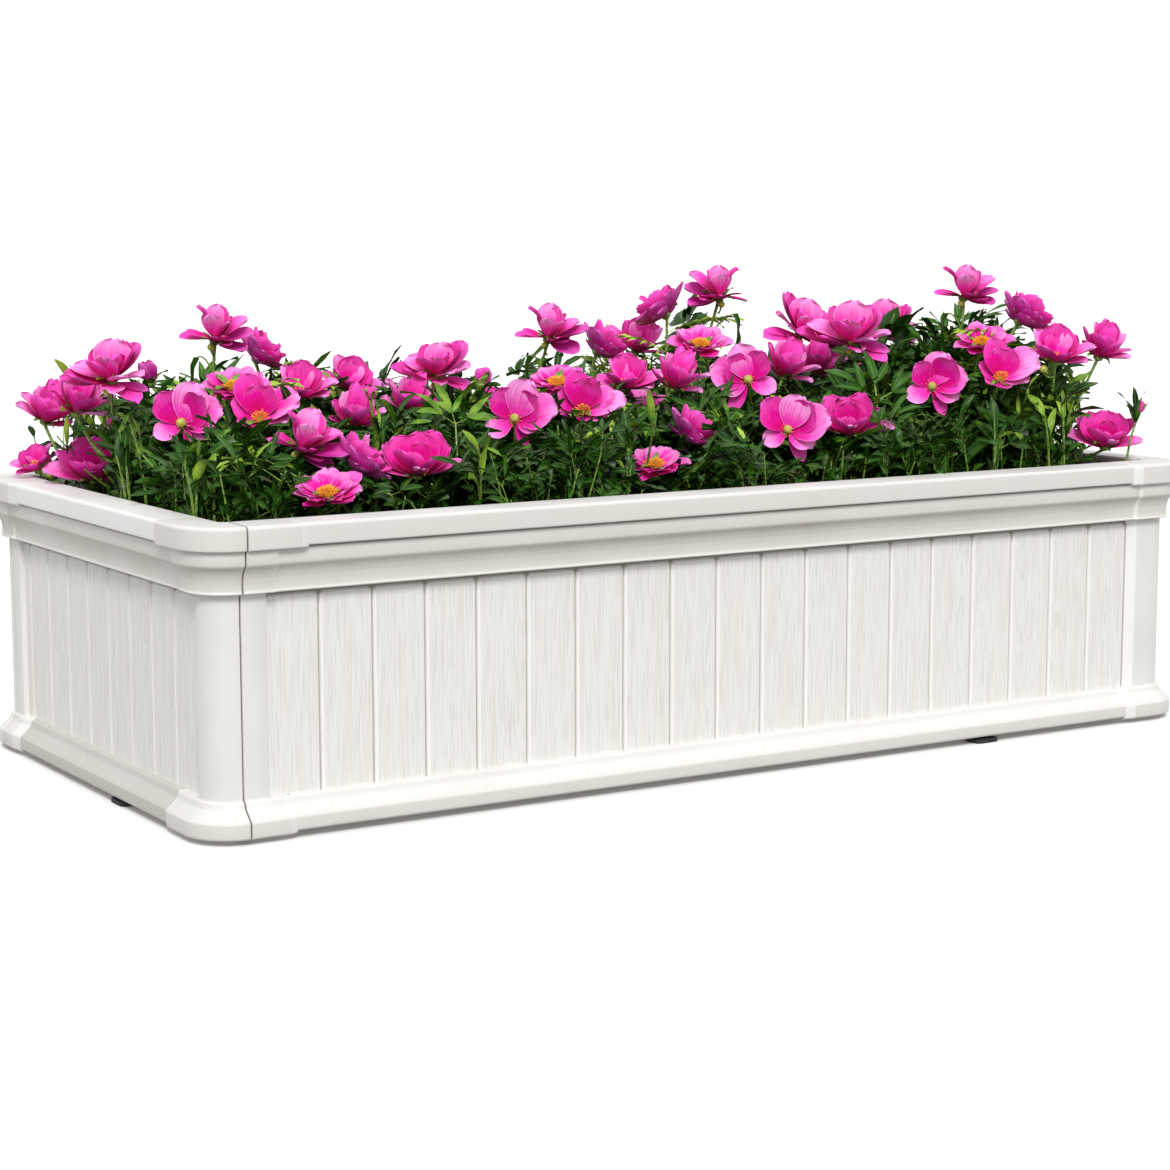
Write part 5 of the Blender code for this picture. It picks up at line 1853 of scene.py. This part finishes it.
# ======== the peonies
class BloomMaker:
    """Builds a bloom's petals, middle and sepals in a piece, by its habit."""

    # How far a habit leans, where not as its kind of bloom does, and how far it turns from where blooms face.
    leans = {DOME: (42, -100), SPREAD: (60, 0), SIDE: (40, 6), DISC: (22, 6)}
    # How many stamens a habit has, their scale, how far the outermost lean, and their disc's radius in mm.
    cushions = {
        SPREAD: (14, 0.5, 70, 3.4), DISC: (110, 0.72, 44, 5.0), SIDE: (70, 0.66, 44, 3.6),
        WIDE: (10, 0.9, 24, 1.6), FLARE: (12, 0.9, 24, 1.6),
    }  # fmt: skip
    # A green bud beside the bloom: its azimuth, its reach and its rise in mm, and its size.
    side_buds = {
        WIDE: (-8, 12, -9, 0.66), PLUME: (-24, 8, -7, 0.56), FLARE: (-64, 15, -10, 0.66),
    }  # fmt: skip

    def __init__(self, growth: Growth, spot: Spot, seed: int) -> None:
        """Finds where the bloom stands.

        Args:
            growth: the piece it belongs to.
            spot: its place, kind and habit.
            seed: what makes it differ from every other bloom.
        """
        self.growth = growth
        self.spot = spot
        self.chance = random.Random(seed)
        self.hand = -1.0 if spot.flip else 1.0
        stance = STANCES[spot.kind]
        if spot.habit in self.leans:
            lean, aside = self.leans[spot.habit]
            stance = Stance(0.0, 0.0, lean, FACING + self.hand * aside)
        self.base = Matrix.Translation(underside(spot)) @ stance.turn()
        self.tone = self.chance.uniform(-0.08, 0.08)
        self.scale = spot.scale * self.chance.uniform(1.04, 1.12)

    def around(self, azimuth: float, reach: float, rise: float) -> Matrix:
        """A frame about the bloom's axis.

        Args:
            azimuth: degrees from where the bloom faces, positive to the right.
            reach: how far from the axis, in millimetres.
            rise: how far up the axis, in millimetres.

        Returns:
            The frame, with +Y away from the axis.
        """
        turn = Matrix.Rotation(radians(self.hand * azimuth - FACING), 4, "Z")
        lifted = self.base @ Matrix.Translation((0, 0, rise * MM))
        return lifted @ turn @ Matrix.Translation((0, reach * MM, 0))

    def petals(self) -> None:
        """Adds the petals of the bloom's habit, each a little off its rule."""
        off = self.chance.uniform
        for petal in (Petal(*row) for row in HABITS[self.spot.habit]):
            size = petal.size * self.scale * off(0.95, 1.06)
            place = self.around(petal.azimuth + off(-7, 7), 3.0, petal.rise)
            place = place @ Matrix.Rotation(radians(-petal.lean + off(-4, 4)), 4, "X")
            place = place @ Matrix.Rotation(radians(off(-9, 9)), 4, "Z")
            tint = petal.tint + self.tone + off(-0.06, 0.06)
            stretch = Vector((petal.width, 1.0, 1.0)) * size
            self.growth.add(petal.shape, place, stretch, min(max(tint, 0.0), 1.0))

    def stamens(self, count: int, length: float, lean: float, disc: float) -> None:
        """Adds a cushion of stamens.

        Args:
            count: how many.
            length: their scale.
            lean: how far the outermost lean, in degrees.
            disc: how far from the axis the outermost stand, in millimetres.
        """
        for number in range(count):
            share = sqrt((number + 0.5) / count)
            pitch = -radians(lean * share + self.chance.uniform(-5, 5))
            place = self.around(number * 137.5, disc * share, 3.5) @ Matrix.Rotation(pitch, 4, "X")
            self.growth.add("stamen", place, length * self.chance.uniform(0.85, 1.1), self.chance.random())

    def calyx(self, sepals: int) -> None:
        """Adds the green swelling under the bloom and its sepals.

        Args:
            sepals: how many it has.
        """
        self.growth.add("receptacle", self.base @ Matrix.Translation((0, 0, -2.5 * MM)), 1.0, 0.4)
        for number in range(sepals):
            pitch = radians(self.chance.uniform(-30, 8))
            place = self.around(number * 72 + 25, 3.2, 0.5) @ Matrix.Rotation(pitch, 4, "X")
            self.growth.add("sepal", place, self.chance.uniform(0.8, 1.15), 0.4)

    def bud(self, azimuth: float, reach: float, rise: float, size: float) -> None:
        """Adds a round green bud beside the bloom, on its own short stalk.

        Args:
            azimuth: degrees from where the bloom faces.
            reach: how far from the bloom's axis, in millimetres.
            rise: how far up the axis, in millimetres.
            size: its scale.
        """
        place = self.around(azimuth, reach, rise)
        self.growth.add("ovary", place, size, 0.6)
        top = place.translation + place.to_3x3() @ Vector((0, 0, 1.0 * MM))
        foot = self.base @ Vector((0, 0, -16 * MM))
        bend = top.lerp(foot, 0.5) + Vector((0, 0, -5 * MM))
        self.growth.stalk(curve(foot, bend, top, 4), [1.1 * MM, 1.0 * MM, 1.0 * MM, 1.1 * MM, 1.5 * MM], 5)

    def build(self) -> None:
        """Adds the whole bloom."""
        habit = self.spot.habit
        self.petals()
        if habit in self.cushions:
            self.stamens(*self.cushions[habit])
        if habit in self.side_buds:
            self.bud(*self.side_buds[habit])
        if habit is SPREAD:
            self.growth.add("ovary", self.around(0, 0, 2.0), 0.66, 0.5)
        self.calyx(0 if habit is SPREAD else 5)


@dataclass
class PeonyPlant:
    """One peony: its leafy shoots, and its flowering stems with their blooms."""

    number: int
    crown: Vector
    stems: Sequence[Sequence[Spot]]
    plan: Plan
    growth_tree: GrowthTree
    blooms_near: list[tuple[Vector, float]]
    stem_radius: float = 0.0022
    stem_foot_reach: float = 0.052
    shoots: int = 24
    sprigs: int = 18
    tufts: int = 46
    rim_tufts: int = 30
    leaf_top: float = 0.412  # no leaf stands higher than this
    leaf_low: float = 0.350
    under_bloom: float = 0.054  # how far under the blooms round them the leaves end
    spread: float = 0.075  # how far off a bloom still lifts or lowers the leaves
    shoot_reach: float = 0.165  # how far from the crown shoots, sprigs and tufts stand
    sprig_reach: float = 0.18
    tuft_reach: tuple[float, float] = (0.145, 0.16)

    def build(self) -> None:
        """Makes the plant's pieces."""
        plan = self.plan
        self.half = Vector((plan.long_side, plan.short_side)) / 2 - Vector((plan.wall_depth, plan.wall_depth))
        self.edge = self.half - Vector((0.007, 0.009))
        for letter, blooms in zip("abc", self.stems):
            self.flowers(letter, blooms)
        self.leaves()

    def paths(self, blooms: Sequence[Spot]) -> Rings:
        """A flowering stem's main stalk and its branches, along the same lines as in the solids.

        Args:
            blooms: the stem's blooms.

        Returns:
            The main stalk's points, then each branch's.
        """
        middle = sum((Vector((b.x, b.y)) for b in blooms), Vector((0, 0))) / len(blooms)
        away = middle / 100 - self.crown
        if away.length < 0.02:
            away = Vector((-1, 0))
        spot = self.crown + away.normalized() * self.stem_foot_reach
        foot = Vector((spot.x, spot.y, self.plan.soil_z + self.plan.fit))
        ends = [underside(b) for b in blooms]
        centre = sum(ends, Vector()) / len(ends)
        fork = foot.lerp(centre, 0.45)
        fork.z = min(fork.z, foot.z + 0.62 * (min(end.z for end in ends) - foot.z))
        paths = [[foot.lerp(fork, i / 5) for i in range(6)]]
        for end, bloom in zip(ends, blooms):
            down = STANCES[bloom.kind].turn() @ -UP
            bend = fork.lerp(end, 0.5) + down * 0.2 * (end - fork).length
            paths.append(curve(fork, bend, end, 9))
        return paths

    def flowers(self, letter: str, blooms: list[Spot]) -> None:
        """Makes one flowering stem with its blooms, and the leaves that hang from its stalks.

        Args:
            letter: which stem of this plant.
            blooms: its blooms.
        """
        seed = self.number * 100 + ord(letter)
        self.chance = random.Random(seed)
        growth = self.growth = Growth(self.growth_tree, seed)
        main_path, *branches = self.paths(blooms)
        thick = self.stem_radius
        growth.stalk(main_path, [thick * 1.5, thick * 1.1, thick, thick, thick, thick * 1.05], 8)
        for number, (path, bloom) in enumerate(zip(branches, blooms)):
            radii = [thick * (0.95 - 0.2 * i / (len(path) - 1)) for i in range(len(path) - 1)]
            growth.stalk(path, [*radii, thick], 7)
            BloomMaker(growth, bloom, seed * 31 + number * 7).build()
            self.stalk_leaves(path, bloom)
        name = f"peony_{self.number:02d}_flowering_stem_{letter}"
        dress(growth.finish(name), Slot.FLOWER, f"peony_{self.number:02d}_flowers_{letter}")

    def stalk_leaves(self, path: Sequence[Vector], bloom: Spot) -> None:
        """Adds the leaves that a flower stalk carries below its bloom.

        Args:
            path: the stalk.
            bloom: the bloom on it.
        """
        growth, chance = self.growth, self.chance
        if bloom.habit is PLUME:
            hand = 1 if bloom.flip else -1
            top = path[-1] + bearing(FACING - 90) * hand * 0.020 + Vector((0, 0, -0.016))
            bend = path[-3].lerp(top, 0.5) + Vector((0, 0, 0.014))
            growth.stalk(curve(path[-3], bend, top, 5), [1.0 * MM] * 4 + [0.8 * MM] * 2, 4)
            spin = radians(-FACING + 90 * hand)
            growth.add("leaf_hanging", standing(top, spin, radians(-72)), 0.95, 0.25)
            growth.add("leaf_lance_3", standing(path[-3], spin + pi, radians(28)), 0.75, 0.3)
        if bloom.habit in (DOME, DISC) and bloom.z > 36:
            for number in range(9 if bloom.habit is DOME else 5):
                spin, pitch = radians(-FACING + 180 + chance.uniform(-115, 115)), chance.uniform(-0.8, -0.1)
                place = standing(path[-2].lerp(path[-6], number / 9), spin, pitch)
                size = chance.uniform(0.45, 0.8)
                if self.is_inside(place @ Vector((0, 0.09 * size, 0)), 0.0):
                    growth.add("leaf_feather", place, size, 0.3 + 0.5 * chance.random())
        for share in (0.35, 0.5, 0.65, 0.8):
            spin, pitch = chance.uniform(0, tau), radians(chance.uniform(-10, 50))
            place = standing(path[int(share * (len(path) - 1))], spin, pitch)
            shape = chance.choice((*LANCES[:2], "leaf_young", LANCES[2]))
            size = chance.uniform(0.6, 0.95)
            if self.has_room(place, size, False):
                growth.add(shape, place, size, 0.5)

    def is_clear(self, spot: Vector, room: float) -> bool:
        """Tells whether no bloom is near a spot, nor right behind it as most of them face.

        Args:
            spot: the spot.
            room: how far it has to stay from a bloom.

        Returns:
            True where it is clear.
        """
        way = bearing(FACING) * 0.18 + Vector((0, 0, 0.02))
        for middle, radius in self.blooms_near:
            along = min(max((spot - middle).dot(way) / way.length_squared, 0.0), 1.0)
            if (spot - middle - way * along).length < radius + room:
                return False
        return True

    def is_inside(self, spot: Vector, room: float) -> bool:
        """True over the soil, or high enough above the rim to lean out over it a little."""
        over = (0.008 if spot.z > 0.316 else -0.003) - room
        return abs(spot.x) < self.half.x + over and abs(spot.y) < self.half.y + over

    def has_room(self, place: Matrix, size: float, is_whole: bool) -> bool:
        """Tells whether a leaf reaches into no bloom, hides none, and stays over the soil.

        Args:
            place: where it grows, and how it is turned.
            size: its scale.
            is_whole: whether it is a whole leaf, and so as broad as long.

        Returns:
            True where it does.
        """
        marks = ((0.045, 0.028), (0.085, 0.0)) if is_whole else ((0.0, 0.0), (0.024, 0.002), (0.048, 0.0))
        for along, room in marks:
            spot = place @ Vector((0, along * size, 0))
            if not (self.is_clear(spot, room * size) and self.is_inside(spot, room * size)):
                return False
        return True

    def canopy(self, x: float, y: float) -> float:
        """Finds how high the leaves reach: a little under the blooms round them.

        Args:
            x: where, along the bed.
            y: where, across the bed.

        Returns:
            The height above the ground.
        """
        total, weight = 0.37 * 0.03, 0.03
        for middle, _ in self.blooms_near:
            near = exp(-((middle.x - x) ** 2 + (middle.y - y) ** 2) / (2 * self.spread**2))
            total += near * middle.z
            weight += near
        return min(max(total / weight - self.under_bloom, self.leaf_low), self.leaf_top)

    def within(self, angle: float, reach: float) -> tuple[float, float]:
        """The spot at an angle and a reach from the crown, held inside the walls."""
        x, y = self.crown.x + reach * cos(angle), self.crown.y + reach * sin(angle)
        return max(-self.edge.x, min(self.edge.x, x)), max(-self.edge.y, min(self.edge.y, y))

    def leaves(self) -> None:
        """Makes the plant's leafy shoots, and the low leaves between them."""
        chance = self.chance = random.Random(self.number * 17 + 5)
        growth = self.growth = Growth(self.growth_tree, self.number * 13)
        for shoot in range(self.shoots):
            angle = shoot * GOLDEN_TURN + self.number
            x, y = self.within(angle, self.shoot_reach * sqrt((shoot + 0.6) / self.shoots))
            foot = Vector((self.crown.x, self.crown.y, self.plan.soil_z - 2 * MM))
            foot += Vector((cos(angle), sin(angle), 0)) * chance.uniform(0.004, 0.030)
            is_tall = shoot % 5 < 2
            top = Vector((x, y, self.canopy(x, y) + (0.020 if is_tall else chance.uniform(-0.02, 0.004))))
            while top.z > 0.325 and not self.is_clear(top, 0.0):
                top.z -= 0.01
            middle = foot.z + 0.5 * (top.z - foot.z)
            bend = Vector((foot.x * 0.35 + x * 0.65, foot.y * 0.35 + y * 0.65, middle))
            path = curve(foot, bend, top, 7)
            growth.stalk(path, [0.0019, 0.0018, 0.0017, 0.0016, 0.0014, 0.0013, 0.0011, 0.0009], 5)
            self.dress_shoot(path, is_tall)
        self.thin_sprigs()
        self.broad_leaves()
        self.lone_buds()
        self.low_leaves()
        name = f"peony_{self.number:02d}_foliage"
        dress(growth.finish(name, 0.12, 0.12), Slot.LEAF, f"peony_{self.number:02d}_leaves")

    def dress_shoot(self, path: Sequence[Vector], is_tall: bool) -> None:
        """Adds whole leaves and leaflets up a shoot, each turned a golden angle from the last.

        Args:
            path: the shoot.
            is_tall: whether it stands among the blooms, with thin rising leaves alone near its top.
        """
        chance = self.chance
        spin = chance.uniform(0, tau)
        for step in range(1, len(path)):
            is_high = is_tall and step > 4
            for side in range(3 if is_high else 4):
                spin += GOLDEN_TURN
                place = path[step].lerp(path[step - 1], chance.random())
                is_whole = side < 2 and step > 1 and not is_high
                pitch = chance.uniform(-5, 50) if is_whole else chance.uniform(15, 76)
                size = chance.uniform(0.7, 1.1) * (0.8 if is_high else 1.0)
                shape = chance.choice(WHOLE_LEAVES if is_whole else (*LANCES, LANCES[0], "leaf_young"))
                turn = standing(place, spin, radians(pitch))
                tint = 0.6 * step / len(path) * chance.random() + 0.4 * chance.random() ** 4
                if self.has_room(turn, size, is_whole):
                    self.growth.add(shape, turn, size, tint)

    def thin_sprigs(self) -> None:
        """Adds thin upright stems that show between the leaves, with a few rising leaflets on each."""
        growth, chance = self.growth, self.chance
        for _ in range(self.sprigs):
            x, y = self.within(chance.uniform(0, tau), self.sprig_reach * sqrt(chance.random()))
            foot = Vector((x, y, self.plan.soil_z))
            aside = (chance.uniform(-0.012, 0.012), chance.uniform(-0.012, 0.012))
            top = Vector((x + aside[0], y + aside[1], self.canopy(x, y) + chance.uniform(-0.01, 0.03)))
            path = curve(foot, Vector((x, y, foot.z * 0.4 + top.z * 0.6)), top, 6)
            if not all(self.is_clear(point, 0.002) for point in path):
                continue
            growth.stalk(path, [0.0016, 0.0015, 0.0014, 0.0013, 0.0012, 0.0010, 0.0008], 4)
            for step in (2, 3, 4, 4, 5, 5, 6):
                spin, pitch = chance.uniform(0, tau), radians(chance.uniform(30, 78))
                place = standing(path[step], spin, pitch)
                size = chance.uniform(0.6, 1.1)
                if self.has_room(place, size, False):
                    shape = chance.choice((*LANCES, "leaf_young"))
                    growth.add(shape, place, size, 0.9 * chance.random() ** 2)

    def broad_leaves(self) -> None:
        """Adds the plant's tall shoots of broad leaves."""
        growth, chance = self.growth, self.chance
        for spot in BROAD_LEAVES.get(self.number, ()):
            top = Vector(spot) / 100
            foot = Vector((self.crown.x, self.crown.y, self.plan.soil_z))
            path = curve(foot, Vector((top.x, top.y, foot.z * 0.5 + top.z * 0.5)), top, 7)
            growth.stalk(path, [0.0016] * 8, 5)
            for number in range(4):
                spin = radians(-FACING + 90 + 55 * number + chance.uniform(-15, 15))
                place = standing(path[-1 - number], spin, radians(chance.uniform(15, 60)))
                growth.add("leaf_broad", place, 0.8, 0.15)

    def lone_buds(self) -> None:
        """Adds the plant's single buds, each on a leafy stalk of its own."""
        growth, chance = self.growth, self.chance
        for spot in LONE_BUDS.get(self.number, ()):
            top = Vector(spot) / 100
            foot = Vector((top.x * 0.98, top.y * 0.96, self.plan.soil_z))
            path = curve(foot, Vector((foot.x, foot.y, foot.z * 0.4 + top.z * 0.6)), top, 6)
            growth.stalk(path, [0.0015] * 4 + [0.0013, 0.0013, 0.0018], 5)
            growth.add("bud_pink", Matrix.Translation(top), 0.95, 0.5)
            for number in range(4):
                place = standing(top, radians(90 * number)) @ Matrix.Translation((0, 0.0035, 0))
                growth.add("sepal", place @ Matrix.Rotation(radians(24), 4, "X"), 0.72, 0.5)
            for number in range(36):
                pitch = radians(chance.uniform(10, 78))
                place = standing(path[number % 5 + 1], number * GOLDEN_TURN, pitch)
                size = chance.uniform(0.45, 0.8)
                if self.has_room(place, size, False):
                    growth.add(chance.choice(LANCES[::2]), place, size, 0.3 * chance.random())

    def low_leaves(self) -> None:
        """Adds the small leaves that crowd the soil and the rim."""
        growth, chance = self.growth, self.chance
        for number in range(self.tufts + self.rim_tufts):
            x, y = (at + chance.uniform(-reach, reach) for at, reach in zip(self.crown, self.tuft_reach))
            if number >= self.tufts and abs(self.crown.x) > 0.4 and number % 2:
                x = copysign(self.edge.x - chance.uniform(0, 0.02), self.crown.x)
            elif number >= self.tufts:
                y = copysign(self.edge.y - chance.uniform(0, 0.02), self.crown.y)
            if abs(x) > self.edge.x or abs(y) > self.edge.y:
                continue
            foot = Vector((x, y, self.plan.soil_z))
            top = foot + Vector((chance.uniform(-0.02, 0.02), chance.uniform(-0.02, 0.02), 0))
            top.z = chance.uniform(0.290, 0.325) if number < self.tufts else chance.uniform(0.295, 0.350)
            grown = 0
            for _ in range(6):
                spin, pitch = chance.uniform(0, tau), radians(chance.uniform(-10, 60))
                place = standing(top.lerp(foot, 0.7 * chance.random() ** 2), spin, pitch)
                shape = chance.choice(("leaf_round", *LANCES[1:], WHOLE_LEAVES[0]))
                size = chance.uniform(0.5, 0.9)
                if self.has_room(place, size, shape in WHOLE_LEAVES):
                    # The low leaves take only dark tints: partly their own deep green, partly painted shade
                    # for the shadow under the canopy.
                    growth.add(shape, place, size, 0.32 * chance.random())
                    grown += 1
            if grown > 2 and self.is_clear(top, 0.0):
                bend = foot.lerp(top, 0.5) + Vector((0.004, 0.004, 0))
                growth.stalk(curve(foot, bend, top, 3), [0.0010, 0.0009, 0.0008, 0.0007], 4)


def plant_all(plan: Plan, palette: Palette) -> None:
    """Makes all ten peonies.

    Args:
        plan: the bed's sizes.
        palette: the finishes.
    """
    store = PartStore()
    growth_tree = GrowthTree(store, palette)
    plants = [[[Spot(*row) for row in stem] for stem in stems] for _, stems in PLANTS]
    near = []
    for spot in (bloom for stems in plants for stem in stems for bloom in stem):
        room = 1.2 if spot.habit is SPREAD else 0.95
        near.append((spot.centre, STANCES[spot.kind].radius * room))
    for number, (stems, (crown, _)) in enumerate(zip(plants, PLANTS), 1):
        PeonyPlant(number, Vector(crown) / 100, stems, plan, growth_tree, near).build()
    store.clear()


# ======== the studio
@dataclass
class Studio:
    """A plain pale floor, a soft surround brighter above than below, one broad key light, and the camera."""

    floor_colour: str = "#fbfbfa"
    floor_size: float = 60.0
    above: float = 0.88  # how bright the surround is as a light, over and under the level
    below: float = 0.32
    key: float = 2.06
    key_angle: float = 20.0
    key_height: float = 42.0  # degrees above the level
    key_bearing: float = 205.0  # it stands in front and to the left
    camera_place: tuple[float, float, float] = (-1.55123, -2.48405, 0.58531)  # low in front and to the left
    camera_turn: tuple[float, float, float] = (1.4288, 0.0013, -0.5523)
    lens: float = 79.912

    def build(self) -> None:
        """Makes the floor, the surround, the key light and the camera."""
        scene = bpy.context.scene
        self.floor()
        self.surround()
        lamp = bpy.data.lights.new("broad key", "SUN")
        lamp.energy = self.key
        lamp.angle = radians(self.key_angle)
        level = bearing(self.key_bearing) * cos(radians(self.key_height))
        towards = level + UP * sin(radians(self.key_height))
        thing = bpy.data.objects.new("broad key", lamp)
        thing.rotation_euler = towards.to_track_quat("Z", "Y").to_euler()
        scene.collection.objects.link(thing)
        camera = bpy.data.cameras.new("camera")
        camera.lens = self.lens
        camera.sensor_width = 36.0
        thing = bpy.data.objects.new("camera", camera)
        thing.location = self.camera_place
        thing.rotation_euler = self.camera_turn
        scene.collection.objects.link(thing)
        bpy.context.scene.camera = thing
        scene.view_settings.view_transform = "Standard"

    def floor(self) -> None:
        """A wide level floor. It is left out of the diffuse bounces, which the surround stands in for."""
        draft = Draft()
        corners = ((-1, -1, 0), (1, -1, 0), (1, 1, 0), (-1, 1, 0))
        draft.add(np.array(corners) * self.floor_size, [(0, 1, 2, 3)])
        material, _, shader = principled("matt white studio floor")
        plug(shader, {"Base Color": linear(self.floor_colour), "Roughness": 0.9, "Specular IOR Level": 0.2})
        thing = draft.to_object("studio_floor", [material])
        thing.visible_diffuse = False

    def surround(self) -> None:
        """The surround: white to look at; as a light, soft from above and dim from below."""
        world = bpy.context.scene.world = bpy.data.worlds.new("white surround")
        world.use_nodes = True
        world.node_tree.nodes.clear()
        add = partial(add_node, world.node_tree)
        up = add("SeparateXYZ", {0: add("TexCoord").outputs["Generated"]}).outputs[2]
        limits = {0: up, 1: -0.25, 2: 0.25, 3: self.below, 4: self.above}
        soft = add("MapRange", limits, interpolation_type="SMOOTHSTEP")
        strength = add("MapRange", {0: add("LightPath").outputs["Is Camera Ray"], 3: soft, 4: 1.0})
        light = add("Background", {"Color": (1.0, 1.0, 1.0, 1.0), "Strength": strength})
        add("OutputWorld", {"Surface": light})


# ======== all of it
def main() -> None:
    """Loads the solids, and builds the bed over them."""
    logging.basicConfig(level=logging.INFO, format="%(message)s")
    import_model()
    plan = Plan()
    palette = Palette()
    Studio().build()
    walls, grain = [Wall(side, plan, palette) for side in Side], BoardGrain().build()
    for wall, after in zip(walls, [*walls[1:], walls[0]]):
        wall.build(after.side.label, grain)
    SoilBed(plan, palette, [(x / 100, y / 100) for (x, y), _ in PLANTS]).build()
    plant_all(plan, palette)


if __name__ == "__main__":
    main()
